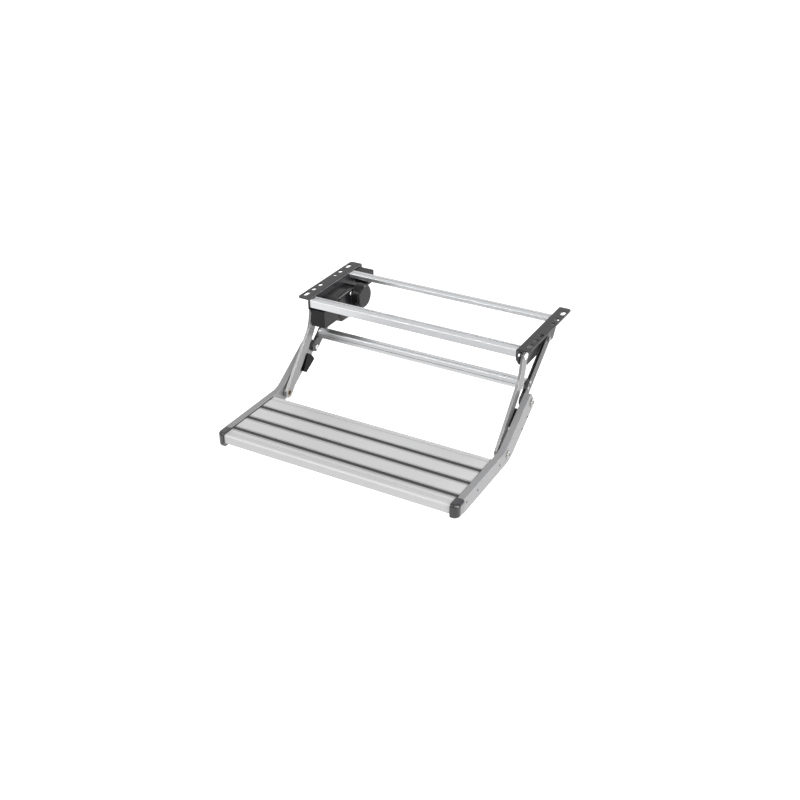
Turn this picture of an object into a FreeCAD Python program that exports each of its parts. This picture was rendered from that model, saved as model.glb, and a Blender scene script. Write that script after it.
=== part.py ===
import FreeCAD, Part
import math
import os
import Sketcher

# Electric folding entry step for a caravan: two folded brackets under the floor, two cross tubes, a geared
# motor on the left bracket, and a tray that swings back on a pair of driven rear arms and a pair of front arms.
# Millimetres. X runs to the right, Y towards the vehicle, Z up. The origin lies on the mounting plane, midway
# between the two round locating holes of the brackets. The step is drawn folded out.

# Driving sizes: alias, value, meaning
SIZES = [
    ("sheet", 3, "thickness of the bracket sheet"),
    ("web_face", 260.5, "inner face of each bracket's web, from the middle"),
    ("flange_width", 31.5, "width of each bracket's flange, from the web's inner face"),
    ("flange_front", -150, "front end of the brackets"),
    ("flange_rear", 91, "rear end of the brackets"),
    ("flange_corner", 8, "corner radius of the flanges"),
    ("fold_radius", 4, "outer radius of the brackets' fold"),
    ("fold_inside", 1, "inner radius of the brackets' fold"),
    ("web_corner", 5, "corner radius of the webs"),
    ("front_drop", -26, "lower end of the web's front edge"),
    ("toe_y", -135, "end of the web's front chamfer"),
    ("toe_z", -44, "end of the web's front chamfer"),
    ("floor_front", -89, "front end of the web's lower edge"),
    ("floor_z", -66, "lower edge of the web"),
    ("floor_rear", 61, "rear end of the web's lower edge"),
    ("heel_y", 79, "knee of the web's rear edge"),
    ("heel_z", -38, "knee of the web's rear edge"),
    ("rear_drop", -10, "lower end of the web's straight rear edge"),
    ("hole_inset", 9.5, "line of the fixing holes, from the flange's outer edge"),
    ("locating_radius", 5.25, "round locating hole"),
    ("slot_half", 5.25, "half width of the fixing slots"),
    ("long_slot", 22, "length of the end slots"),
    ("short_slot", 15, "length of the middle slots"),
    ("slot_first", -125, "place of the front long slot"),
    ("slot_second", -94, "place of the second slot"),
    ("slot_third", -65.5, "place of the third slot"),
    ("slot_fourth", 25, "place of the fourth slot"),
    ("slot_last", 62.5, "place of the rear long slot"),
    ("front_pivot_y", -121, "pivot of the front arms on the webs"),
    ("front_pivot_z", -27, "pivot of the front arms on the webs"),
    ("rear_pivot_y", 4, "pivot of the rear arms on the webs"),
    ("rear_pivot_z", -41, "pivot of the rear arms on the webs"),
    ("foot_pivot_y", -241, "pivot of the front arms on the tray"),
    ("foot_pivot_z", -204, "pivot of the front arms on the tray"),
    ("tray_pivot_y", -121, "pivot of the rear arms on the tray"),
    ("tray_pivot_z", -137, "pivot of the rear arms on the tray"),
    ("pin_radius", 5, "radius of the pivot pins and bolts"),
    ("running", 0.05, "radial clearance of a pin in its hole"),
    ("side_gap", 0.3, "gap beside a part that turns"),
    ("front_washer", 1.5, "gap between a web and its front arm"),
    ("front_arm_thick", 6.4, "thickness of the front arms"),
    ("front_arm_half", 12.5, "half width of the front arms"),
    ("bend_y", -131.5, "bend of the front arms' centreline"),
    ("bend_z", -80, "bend of the front arms' centreline"),
    ("bend_inside", 60, "radius of the bend's front edge"),
    ("bend_outside", 85, "radius of the bend's rear edge"),
    ("bush_radius", 7.5, "foot bush of the front arms"),
    ("rear_washer", 2.5, "gap between a web and its rear arm"),
    ("rear_arm_thick", 8, "thickness of the rear arms"),
    ("rear_arm_half", 12, "half width of the rear arms"),
    ("arm_wall", 2, "wall of the rear arms' channel"),
    ("arm_boss", 12, "solid length of a rear arm at each pivot"),
    ("tube_seat_front", 110, "solid part of a rear arm behind the lower tube, distance from the pivot"),
    ("tube_seat_end", 135, "far end of that solid part"),
    ("link_spacer", 3, "gap between a rear arm and its leg"),
    ("side_thick", 15, "thickness of the tray's side plates"),
    ("side_front", -455, "front end of the side plates"),
    ("side_top", -192, "top of the side plates beside the tread"),
    ("side_bottom", -225.5, "bottom of the side plates"),
    ("bend_top_y", -254, "where the top of the side plates turns up"),
    ("bend_low_y", -228, "where the bottom of the side plates turns up"),
    ("bend_top_radius", 60, "radius of the side plates' upper bend"),
    ("bend_low_radius", 80, "radius of the side plates' lower bend"),
    ("leg_end_y", -114.2, "middle of the square end of the legs"),
    ("leg_end_z", -128.2, "middle of the square end of the legs"),
    ("leg_half", 20.3, "half width of the legs"),
    ("leg_corner", 7, "corner radius of the legs' ends"),
    ("leg_angle", 32.3, "slope of the legs in degrees"),
    ("gasket_thick", 2, "gap between the tread and the side plates"),
    ("tread_front", -482, "front face of the tread"),
    ("tread_rear", -289, "rear face of the tread"),
    ("tread_top", -194, "top of the tread"),
    ("tread_height", 22, "height of the tread"),
    ("tread_wall", 2, "wall of the tread's chambers"),
    ("tread_skin", 4, "top wall of the tread under its grooves"),
    ("chambers", 4, "number of chambers in the tread"),
    ("nose_radius", 5, "top front edge of the tread"),
    ("nose_under", 3, "lower front edge of the tread"),
    ("strip_rear", -341, "centre of the rear grip strip"),
    ("strip_pitch", 52.2, "distance between the grip strips"),
    ("strip_width", 8.5, "width of a grip strip"),
    ("strip_depth", 1.6, "depth of the grip strips' grooves"),
    ("strip_rise", 0.6, "height of the grip strips above the tread"),
    ("rib_first", 6, "first serration beside a strip, from the strip's centre"),
    ("rib_pitch", 1.6, "distance between the serrations"),
    ("rib_width", 0.8, "width of a serration's groove"),
    ("rib_depth", 0.8, "depth of a serration's groove"),
    ("rear_groove", -303, "centre of the tread's rear groove"),
    ("rear_groove_width", 6, "width of the tread's rear groove"),
    ("nose_groove", -467, "centre of the groove behind the nosing"),
    ("nose_groove_pitch", 6, "distance between the two grooves behind the nosing"),
    ("gasket_margin", 1.5, "how far the gaskets stay inside the tread's outline"),
    ("cap_width", 19, "width of the end caps, from the tread's end"),
    ("cap_front", -485, "front of the end caps"),
    ("cap_top", -190, "top of the end caps"),
    ("cap_bottom", -224.5, "bottom of the end caps"),
    ("cap_corner", 14, "radius of the end caps' upright corner"),
    ("cap_round", 7, "radius of the end caps' upper and lower rims"),
    ("cap_screw_inset", 6, "screw under the end caps, from the tread's end"),
    ("cap_screw_y", -467, "screw under the end caps"),
    ("block_depth", 15, "thickness of the stop blocks"),
    ("block_round", 2.5, "corner radius of the stop blocks"),
    ("front_tube_y", -147.5, "front face of the front cross tube"),
    ("front_tube_z", -3.5, "top of the front cross tube"),
    ("front_tube_deep", 24, "depth of the front cross tube"),
    ("front_tube_high", 19, "height of the front cross tube"),
    ("channel_start", 8.5, "start of the channel in the front cross tube's top"),
    ("channel_end", 20.5, "end of that channel"),
    ("channel_depth", 2, "depth of that channel"),
    ("tube_wall", 2, "wall of the cross tubes"),
    ("tube_edge", 2.4, "edge radius of the upper cross tubes"),
    ("rear_tube_y", 30, "front face of the rear cross tube"),
    ("rear_tube_z", -3, "top of the rear cross tube"),
    ("rear_tube_deep", 23, "depth of the rear cross tube"),
    ("rear_tube_high", 11, "height of the rear cross tube"),
    ("low_tube_y", -97, "centre of the lower cross tube"),
    ("low_tube_z", -109.5, "centre of the lower cross tube"),
    ("low_tube_half", 10.6, "half size of the lower cross tube"),
    ("low_tube_edge", 3, "edge radius of the lower cross tube"),
    ("low_tube_wall", 2.2, "wall of the lower cross tube"),
    ("line_width", 1.2, "width of the lines along the cross tubes"),
    ("line_inset", 7, "line in the lower cross tube's top, from its front face"),
    ("line_depth", 0.7, "depth of the lines along the cross tubes"),
    ("port_radius", 4.2, "screw ports inside the cross tubes"),
    ("port_radius_low", 3.7, "screw ports of the rear cross tube"),
    ("screw_radius", 2.5, "shank of the tube screws"),
    ("screw_head", 4.5, "head radius of the tube screws"),
    ("screw_rise", 2.4, "head height of the tube screws"),
    ("screw_length", 20, "reach of the tube screws past the webs"),
    ("screw_clearance", 0.1, "radial clearance round the screws"),
    ("washer_radius", 10, "outer radius of the pivot washers"),
    ("bolt_flange", 9, "flange radius of the tray's pivot bolts"),
    ("flange_rise", 1.2, "flange thickness of the tray's pivot bolts"),
    ("bolt_head", 5.8, "head radius of the pivot bolts"),
    ("bolt_rise", 4.2, "head height of the pivot bolts"),
    ("thread_radius", 3, "threaded end of the pivot bolts"),
    ("socket_radius", 2.9, "hexagon socket of the pivot bolts, to its corners"),
    ("socket_depth", 2, "depth of the hexagon sockets"),
    ("nut_radius", 5.8, "pivot nuts, centre to corner"),
    ("nut_height", 3.2, "height of the pivot nuts"),
    ("pin_head", 9, "head radius of the front pivot pins"),
    ("pin_rise", 3.5, "head height of the front pivot pins"),
    ("rivet_radius", 2.4, "head radius of the side plates' rivets"),
    ("rivet_shank", 1.6, "shank radius of the side plates' rivets"),
    ("rivet_rise", 0.5, "head height of the side plates' rivets"),
    ("rivet_depth", 8, "reach of the rivets into the side plates"),
    ("shaft_radius", 8, "radius of the gear's output shaft"),
    ("shaft_cover", 11, "wall of the gear housing over the output shaft's end"),
    ("bearing_radius", 13, "flange of the output shaft's bearing"),
    ("gear_width", 38.5, "width of the gear housing, from the web"),
    ("gear_base_width", 19.5, "width of the gear housing's outer half"),
    ("gear_round", 12, "outline corner radius of the gear housing"),
    ("gear_dome", 8, "edge radius of the gear housing's inner face"),
    ("gear_rear", -79, "plane between the front cover and the gear housing"),
    ("cover_width", 36.5, "width of the front cover, from the web"),
    ("cover_front", -143, "front of the front cover"),
    ("cover_top", -29, "top front edge of the front cover"),
    ("cover_bottom", -71, "bottom of the front cover"),
    ("cover_round", 3, "edge radius of the front cover"),
    ("motor_radius", 30, "radius of the motor"),
    ("motor_length", 22, "length of the motor, from the gear housing"),
    ("motor_cap", 4, "thickness of the motor's end cap"),
    ("motor_step", 2, "step and chamfer of the motor's end"),
    ("box_gap", 2.5, "gap between the connector box and the web"),
    ("box_width", 36, "width of the connector box"),
    ("box_rear", 79, "rear of the connector box"),
    ("box_top", -4, "top of the connector box"),
    ("box_bottom", -35, "bottom of the connector box"),
    ("box_lid", 3, "thickness of the connector box's lid"),
    ("box_round", 2, "edge radius of the connector box"),
    ("small_head", 4.2, "head radius of the housing screws"),
    ("small_shank", 2, "shank radius of the housing screws"),
    ("small_rise", 1.4, "head height of the housing screws"),
    ("small_length", 10, "reach of the housing screws"),
    ("flat_rise", 1.1, "head height of the screws under the front arms"),
    ("front_screw_low_y", 6, "lower screw of the front cross tube, from its front top corner"),
    ("front_screw_low_z", -14, "lower screw of the front cross tube, from its front top corner"),
    ("front_screw_high_y", 18.5, "upper screw of the front cross tube, from its front top corner"),
    ("front_screw_high_z", -7, "upper screw of the front cross tube, from its front top corner"),
    ("rear_screw_front_y", 5.2, "front screw of the rear cross tube, from its front top corner"),
    ("rear_screw_front_z", -5.5, "front screw of the rear cross tube, from its front top corner"),
    ("rear_screw_back_y", 17.2, "rear screw of the rear cross tube, from its front top corner"),
    ("rear_screw_back_z", -5.5, "rear screw of the rear cross tube, from its front top corner"),
    ("low_screw_high_y", 5.5, "upper screw of the lower cross tube, from its centre"),
    ("low_screw_high_z", 4, "upper screw of the lower cross tube, from its centre"),
    ("low_screw_low_y", -5, "lower screw of the lower cross tube, from its centre"),
    ("low_screw_low_z", -6, "lower screw of the lower cross tube, from its centre"),
    ("rivet_top_y", -141.4, "upper rivet of a leg"),
    ("rivet_top_z", -162.9, "upper rivet of a leg"),
    ("rivet_leg_y", -167.6, "lower rivet of a leg"),
    ("rivet_leg_z", -179.5, "lower rivet of a leg"),
    ("rivet_rear_y", -281, "rear rivet of a side plate"),
    ("rivet_rear_z", -209.2, "rear rivet of a side plate"),
    ("rivet_middle_y", -389.9, "middle rivet of a side plate"),
    ("rivet_middle_z", -206.7, "middle rivet of a side plate"),
    ("rivet_front_y", -441.2, "front rivet of a side plate"),
    ("rivet_front_z", -204.8, "front rivet of a side plate"),
    ("cover_break_y", -87, "knee of the front cover's top"),
    ("cover_break_z", -16, "knee of the front cover's top"),
    ("gear_crown_y", -35, "highest corner of the gear housing"),
    ("gear_crown_z", -14, "highest corner of the gear housing"),
    ("gear_shoulder_y", 18, "rear top corner of the gear housing"),
    ("gear_shoulder_z", -24, "rear top corner of the gear housing"),
    ("gear_back_y", 31, "rearmost corner of the gear housing"),
    ("gear_back_z", -40, "rearmost corner of the gear housing"),
    ("gear_heel_y", 23, "lower rear corner of the gear housing"),
    ("gear_heel_z", -75, "lower rear corner of the gear housing"),
    ("gear_belly_y", -19, "lowest corner of the gear housing"),
    ("gear_belly_z", -89, "lowest corner of the gear housing"),
    ("gear_chin_y", -67, "lower front corner of the gear housing"),
    ("gear_chin_z", -86, "lower front corner of the gear housing"),
    ("gear_screw_top_y", -27.5, "upper screw of the gear housing"),
    ("gear_screw_top_z", -25.5, "upper screw of the gear housing"),
    ("gear_screw_front_y", -66, "front screw of the gear housing"),
    ("gear_screw_front_z", -40, "front screw of the gear housing"),
    ("gear_screw_low_y", -32, "lower screw of the gear housing"),
    ("gear_screw_low_z", -73, "lower screw of the gear housing"),
    ("mount_screw_high_y", -60, "upper screw between the web and the gear housing"),
    ("mount_screw_high_z", -35, "upper screw between the web and the gear housing"),
    ("mount_screw_low_y", -45, "lower screw between the web and the gear housing"),
    ("mount_screw_low_z", -58, "lower screw between the web and the gear housing"),
    ("cover_screw_high_y", -88, "upper screw of the front cover"),
    ("cover_screw_high_z", -34, "upper screw of the front cover"),
    ("cover_screw_low_y", -86, "lower screw of the front cover"),
    ("cover_screw_low_z", -52, "lower screw of the front cover"),
    ("block_top_y", -164, "upper front corner of a stop block"),
    ("block_top_z", -137.9, "upper front corner of a stop block"),
    ("block_crown_y", -147.5, "upper rear corner of a stop block"),
    ("block_crown_z", -144.5, "upper rear corner of a stop block"),
    ("block_nose_y", -135.1, "rear corner of a stop block"),
    ("block_nose_z", -161.7, "rear corner of a stop block"),
    ("block_toe_y", -165.8, "lower rear corner of a stop block"),
    ("block_toe_z", -178.8, "lower rear corner of a stop block"),
    ("block_heel_y", -171.7, "lowest corner of a stop block"),
    ("block_heel_z", -182, "lowest corner of a stop block"),
    ("block_foot_y", -182.8, "lower front corner of a stop block"),
    ("block_foot_z", -174.3, "lower front corner of a stop block"),
]

SIDES = {"left": -1, "right": 1}
HEX = 6
FULL_TURN = 360
TOUCH = 1e-3

doc = FreeCAD.newDocument("entry_step")
sheet = doc.addObject("Spreadsheet::Sheet", "dim")
for row, (alias, value, meaning) in enumerate(SIZES, start=1):
    sheet.set(f"A{row}", meaning)
    sheet.set(f"B{row}", str(value))
    sheet.setAlias(f"B{row}", alias)
doc.recompute()

# Distances from the middle of the step, from the webs outwards
WEB_BACK = "(dim.web_face + dim.sheet)"
FLANGE_EDGE = "(dim.web_face + dim.flange_width)"
HOLE_LINE = f"({FLANGE_EDGE} - dim.hole_inset)"
FRONT_ARM_IN = f"({WEB_BACK} + dim.front_washer)"
FRONT_ARM_OUT = f"({FRONT_ARM_IN} + dim.front_arm_thick)"
REAR_ARM_IN = f"({WEB_BACK} + dim.rear_washer)"
REAR_ARM_OUT = f"({REAR_ARM_IN} + dim.rear_arm_thick)"
SIDE_IN = f"({REAR_ARM_OUT} + dim.link_spacer)"
SIDE_OUT = f"({SIDE_IN} + dim.side_thick)"
TREAD_END = f"({SIDE_IN} - dim.gasket_thick)"
CAP_OUT = f"({TREAD_END} + dim.cap_width)"
CAP_SCREW = f"({TREAD_END} + dim.cap_screw_inset)"

# Distances from the middle of the step, from the left web inwards
GEAR_FACE = "(dim.web_face - dim.gear_width)"
GEAR_SPLIT = "(dim.web_face - dim.gear_base_width)"
SHAFT_END = f"({GEAR_FACE} + dim.shaft_cover)"
COVER_FACE = "(dim.web_face - dim.cover_width)"
MOTOR_END = f"({GEAR_FACE} - dim.motor_length)"
BOX_OUT = "(dim.web_face - dim.box_gap)"
BOX_IN = f"({BOX_OUT} - dim.box_width)"


def at(name):
    """A named point in the side view, as formulas of the sheet: (y, z)."""
    return (f"dim.{name}_y", f"dim.{name}_z")


FRONT_PIVOT = at("front_pivot")
REAR_PIVOT = at("rear_pivot")
FOOT_PIVOT = at("foot_pivot")
TRAY_PIVOT = at("tray_pivot")
BEND = at("bend")
LEG_END = at("leg_end")
PIN_HOLE = "dim.pin_radius + dim.running"
THREAD_HOLE = "dim.thread_radius + dim.running"
FRONT_TUBE_SCREWS = ["front_screw_low", "front_screw_high"]
REAR_TUBE_SCREWS = ["rear_screw_front", "rear_screw_back"]
LOW_TUBE_SCREWS = ["low_screw_high", "low_screw_low"]
RIVETS = [at(name) for name in ("rivet_top", "rivet_leg", "rivet_rear", "rivet_middle", "rivet_front")]
GEAR_OUTLINE = [at(name) for name in ("gear_crown", "gear_shoulder", "gear_back", "gear_heel", "gear_belly",
                                      "gear_chin")]
GEAR_SCREWS = [at(name) for name in ("gear_screw_top", "gear_screw_front", "gear_screw_low")]
GEAR_MOUNT_SCREWS = [at(name) for name in ("mount_screw_high", "mount_screw_low")]
COVER_SCREWS = [at(name) for name in ("cover_screw_high", "cover_screw_low")]
BLOCK_OUTLINE = [at(name) for name in ("block_top", "block_crown", "block_nose", "block_toe", "block_heel",
                                       "block_foot")]

parts = []


def number(formula):
    return float(sheet.evalExpression(str(formula)))


def steps_from(origin, names):
    """Points that lie the named steps from an origin."""
    return [(f"{origin[0]} + {y}", f"{origin[1]} + {z}") for y, z in map(at, names)]


def heading(start, end):
    """Direction of a line in the side view, in degrees."""
    return f"atan2({end[1]} - ({start[1]}); {end[0]} - ({start[0]}))"


def beside(point, direction, distance):
    """The point that far to the left of a point on a line of that direction."""
    return (f"{point[0]} - ({distance}) * sin({direction})", f"{point[1]} + ({distance}) * cos({direction})")


def mitre(start, corner, end, distance):
    """The corner of a bar's edge, that far to the left of its bent centreline."""
    first = heading(start, corner)
    second = heading(corner, end)
    share = f"({distance}) / (1 + cos({second} - {first}))"
    return (f"{corner[0]} - {share} * (sin({first}) + sin({second}))",
            f"{corner[1]} + {share} * (cos({first}) + cos({second}))")


def rectangle(low, high):
    return [low, (high[0], low[1]), high, (low[0], high[1])]


def new_body(name):
    body = doc.addObject("PartDesign::Body", name)
    body.Label = name
    parts.append(body)
    return body


def new_sketch(body, plane, offset):
    """A sketch on one of the body's own planes, moved along that plane's normal."""
    sketch = body.newObject("Sketcher::SketchObject", f"{body.Name}_sketch")
    origin_plane = [item for item in body.Origin.OriginFeatures if item.Role == plane][0]
    sketch.AttachmentSupport = [(origin_plane, "")]
    sketch.MapMode = "FlatFace"
    sketch.setExpression("AttachmentOffset.Base.z", str(offset))
    return sketch


def bind(sketch, kind, *where):
    """A dimension of the sketch that follows a formula, which is the last argument."""
    formula = str(where[-1])
    index = sketch.addConstraint(Sketcher.Constraint(kind, *where[:-1], number(formula)))
    sketch.setExpression(f"Constraints[{index}]", formula)


def draw_outline(sketch, corners):
    spots = [FreeCAD.Vector(number(across), number(up), 0) for across, up in corners]
    first = sketch.GeometryCount
    count = len(corners)
    for index in range(count):
        sketch.addGeometry(Part.LineSegment(spots[index], spots[(index + 1) % count]), False)
    for index in range(count):
        sketch.addConstraint(Sketcher.Constraint("Coincident", first + index, 2, first + (index + 1) % count, 1))
    for index, (across, up) in enumerate(corners):
        bind(sketch, "DistanceX", -1, 1, first + index, 1, across)
        bind(sketch, "DistanceY", -1, 1, first + index, 1, up)


def draw_circle(sketch, centre, radius):
    spot = FreeCAD.Vector(number(centre[0]), number(centre[1]), 0)
    circle = Part.Circle(spot, FreeCAD.Vector(0, 0, 1), number(radius))
    index = sketch.addGeometry(circle, False)
    bind(sketch, "Radius", index, radius)
    bind(sketch, "DistanceX", -1, 1, index, 3, centre[0])
    bind(sketch, "DistanceY", -1, 1, index, 3, centre[1])


def draw_hexagon(sketch, centre, radius):
    corners = []
    for step in range(HEX):
        angle = step * FULL_TURN / HEX
        corners.append((f"{centre[0]} + ({radius}) * cos({angle})", f"{centre[1]} + ({radius}) * sin({angle})"))
    draw_outline(sketch, corners)


def add_pad(body, sketch, length, backwards=False):
    pad = body.newObject("PartDesign::Pad", f"{body.Name}_pad")
    pad.Profile = sketch
    pad.setExpression("Length", str(length))
    pad.Reversed = backwards
    sketch.Visibility = False
    doc.recompute()
    return pad


def add_pocket(body, sketch, depth, forwards=False):
    """Cut against the sketch plane's normal, or along it, and make sure that something was cut."""
    before = body.Shape.Volume
    pocket = body.newObject("PartDesign::Pocket", f"{body.Name}_pocket")
    pocket.Profile = sketch
    pocket.setExpression("Length", str(depth))
    pocket.Reversed = forwards
    sketch.Visibility = False
    doc.recompute()
    if body.Shape.Volume > before - TOUCH:
        raise RuntimeError(f"a pocket of {body.Label} cut nothing")
    return pocket


def edges_along(shape, axis, corners):
    """Names of the straight edges parallel to an axis that stand on the given corners of the other two."""
    others = [index for index in range(3) if index != axis]
    spots = [[number(value) for value in corner] for corner in corners]
    names = []
    for index, edge in enumerate(shape.Edges, start=1):
        if len(edge.Vertexes) != 2:
            continue
        start, end = [vertex.Point for vertex in edge.Vertexes]
        for spot in spots:
            off = max(abs(point[other] - want) for point in (start, end) for other, want in zip(others, spot))
            if off < TOUCH and abs(start[axis] - end[axis]) > TOUCH:
                names.append(f"Edge{index}")
    if not names:
        raise RuntimeError("no edge stands on those corners")
    return names


def round_edges(body, radius, names):
    base = body.Tip
    fillet = body.newObject("PartDesign::Fillet", f"{body.Name}_round")
    fillet.Base = (base, names)
    fillet.setExpression("Radius", str(radius))
    doc.recompute()
    return fillet


def round_corners(body, radius, axis, corners):
    return round_edges(body, radius, edges_along(body.Shape, axis, corners))


def add_plate(body, side, corners, face, thickness):
    """A flat layer in the side view, from a distance beside the middle outwards."""
    sketch = new_sketch(body, "YZ_Plane", f"{side} * ({face})")
    draw_outline(sketch, corners)
    return add_pad(body, sketch, thickness, side < 0)


def add_disc(body, side, centre, radius, face, thickness):
    sketch = new_sketch(body, "YZ_Plane", f"{side} * ({face})")
    draw_circle(sketch, centre, radius)
    return add_pad(body, sketch, thickness, side < 0)


def cut_holes(body, side, holes, face, depth):
    """Round holes along X, each a centre and a radius, from a distance beside the middle outwards."""
    sketch = new_sketch(body, "YZ_Plane", f"{side} * ({face})")
    for centre, radius in holes:
        draw_circle(sketch, centre, radius)
    return add_pocket(body, sketch, depth, side > 0)


def turned(name, direction, seat, centre, profile):
    """A turned piece along X: its profile is (distance from its seat, radius), its seat a value of X."""
    body = doc.addObject("PartDesign::Body", name)
    body.Label = name
    sketch = new_sketch(body, "XY_Plane", 0)
    draw_outline(sketch, profile)
    turn = body.newObject("PartDesign::Revolution", f"{body.Name}_turn")
    turn.Profile = sketch
    turn.ReferenceAxis = (sketch, ["H_Axis"])
    turn.Angle = FULL_TURN
    sketch.Visibility = False
    if direction < 0:
        about = FreeCAD.Rotation(FreeCAD.Vector(0, 0, 1), FULL_TURN / 2)
        body.Placement = FreeCAD.Placement(FreeCAD.Vector(), about)
    body.setExpression("Placement.Base.x", str(seat))
    body.setExpression("Placement.Base.y", str(centre[0]))
    body.setExpression("Placement.Base.z", str(centre[1]))
    doc.recompute()
    return body


def screw(name, direction, seat, centre, head, rise, shank, reach):
    """A screw whose head bears on its seat and whose shank reaches back behind it."""
    profile = [(f"-({reach})", "0"), *dome(rise, head), ("0", head), ("0", shank), (f"-({reach})", shank)]
    return turned(name, direction, seat, centre, profile)


def dome(rise, radius):
    """Profile of a domed head, from its middle to its rim."""
    return [(rise, "0"), (rise, f"({radius}) / 2"), (f"({rise}) * 3 / 4", f"({radius}) * 5 / 6"),
            (f"({rise}) / 3", radius)]


def shoulder_bolt(name, direction, seat, centre, reach, thread):
    """A bolt with a flanged head, a smooth shoulder that long and, with a nut, a thinner threaded end."""
    head = [*dome("dim.bolt_rise", "dim.bolt_head"), ("dim.flange_rise", "dim.bolt_head"),
            ("dim.flange_rise", "dim.bolt_flange"), ("0", "dim.bolt_flange"), ("0", "dim.pin_radius")]
    shoulder = f"-({reach})"
    profile = [(shoulder, "0"), *head, (shoulder, "dim.pin_radius")]
    if thread:
        end = f"-({reach} + dim.nut_height)"
        profile = [(end, "0"), *head, (shoulder, "dim.pin_radius"), (shoulder, "dim.thread_radius"),
                   (end, "dim.thread_radius")]
    bolt = turned(name, direction, seat, centre, profile)
    sketch = new_sketch(bolt, "YZ_Plane", "dim.bolt_rise")
    draw_hexagon(sketch, ("0", "0"), "dim.socket_radius")
    add_pocket(bolt, sketch, "dim.socket_depth")
    return bolt


def ring(name, direction, seat, centre, outer, bore, height):
    profile = [("0", bore), (height, bore), (height, outer), ("0", outer)]
    return turned(name, direction, seat, centre, profile)


def hexagon_nut(name, direction, seat, centre, bore):
    body = doc.addObject("PartDesign::Body", name)
    body.Label = name
    sketch = new_sketch(body, "YZ_Plane", f"{seat}")
    draw_hexagon(sketch, centre, "dim.nut_radius")
    draw_circle(sketch, centre, bore)
    add_pad(body, sketch, "dim.nut_height", direction < 0)
    return body


def keep(body):
    parts.append(body)
    return body


def group(name, bodies):
    """Identical pieces that share one node."""
    compound = doc.addObject("Part::Compound", name)
    compound.Label = name
    compound.Links = bodies
    doc.recompute()
    parts.append(compound)


def slot(sketch, across, along, length, half):
    """A slot along Y with round ends."""
    reach = f"(({length}) / 2 - ({half}))"
    ends = [f"{along} - {reach}", f"{along} + {reach}"]
    low, high = [FreeCAD.Vector(number(across), number(end), 0) for end in ends]
    radius = number(half)
    shift = FreeCAD.Vector(radius, 0, 0)
    normal = FreeCAD.Vector(0, 0, 1)
    first = sketch.GeometryCount
    half_turn = math.pi
    sketch.addGeometry(Part.ArcOfCircle(Part.Circle(low, normal, radius), half_turn, 2 * half_turn), False)
    sketch.addGeometry(Part.LineSegment(low + shift, high + shift), False)
    sketch.addGeometry(Part.ArcOfCircle(Part.Circle(high, normal, radius), 0, half_turn), False)
    sketch.addGeometry(Part.LineSegment(high - shift, low - shift), False)
    count = sketch.GeometryCount - first
    for index in range(count):
        sketch.addConstraint(Sketcher.Constraint("Tangent", first + index, 2, first + (index + 1) % count, 1))
    sketch.addConstraint(Sketcher.Constraint("Equal", first, first + 2))
    bind(sketch, "Radius", first, half)
    for arc, end in ((first, ends[0]), (first + 2, ends[1])):
        bind(sketch, "DistanceX", -1, 1, arc, 3, across)
        bind(sketch, "DistanceY", -1, 1, arc, 3, end)


def tube_screw_spots():
    front = steps_from(("dim.front_tube_y", "dim.front_tube_z"), FRONT_TUBE_SCREWS)
    rear = steps_from(("dim.rear_tube_y", "dim.rear_tube_z"), REAR_TUBE_SCREWS)
    return front, rear


# Brackets
def bracket(name, side):
    body = new_body(f"{name}_bracket")
    web = [("dim.flange_front", "0"), ("dim.flange_front", "dim.front_drop"), ("dim.toe_y", "dim.toe_z"),
           ("dim.floor_front", "dim.floor_z"), ("dim.floor_rear", "dim.floor_z"), ("dim.heel_y", "dim.heel_z"),
           ("dim.flange_rear", "dim.rear_drop"), ("dim.flange_rear", "0")]
    add_plate(body, side, web, "dim.web_face", "dim.sheet")
    round_corners(body, "dim.web_corner", 0, web[1:7])
    flange = new_sketch(body, "XY_Plane", 0)
    inner = f"{side} * dim.web_face"
    outer = f"{side} * {FLANGE_EDGE}"
    corners = rectangle((inner, "dim.flange_front"), (outer, "dim.flange_rear"))
    draw_outline(flange, corners)
    add_pad(body, flange, "dim.sheet", True)
    round_corners(body, "dim.flange_corner", 2, [corners[1], corners[2]])
    round_corners(body, "dim.fold_radius", 1, [(inner, "0")])
    round_corners(body, "dim.fold_inside", 1, [(f"{side} * ({WEB_BACK})", "-dim.sheet")])
    holes = new_sketch(body, "XY_Plane", 0)
    line = f"{side} * {HOLE_LINE}"
    draw_circle(holes, (line, "0"), "dim.locating_radius")
    for place in ("dim.slot_first", "dim.slot_last"):
        slot(holes, line, place, "dim.long_slot", "dim.slot_half")
    for place in ("dim.slot_second", "dim.slot_third", "dim.slot_fourth"):
        slot(holes, line, place, "dim.short_slot", "dim.slot_half")
    add_pocket(body, holes, "dim.sheet")
    front, rear = tube_screw_spots()
    shank = "dim.screw_radius + dim.screw_clearance"
    rear_hole = "dim.shaft_radius + dim.running" if side < 0 else PIN_HOLE
    bores = [(spot, shank) for spot in front + rear]
    bores += [(FRONT_PIVOT, PIN_HOLE), (REAR_PIVOT, rear_hole)]
    if side < 0:
        bores += [(spot, "dim.small_shank + dim.screw_clearance") for spot in GEAR_MOUNT_SCREWS]
    cut_holes(body, side, bores, "dim.web_face", "dim.sheet")


for name, side in SIDES.items():
    bracket(name, side)


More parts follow.
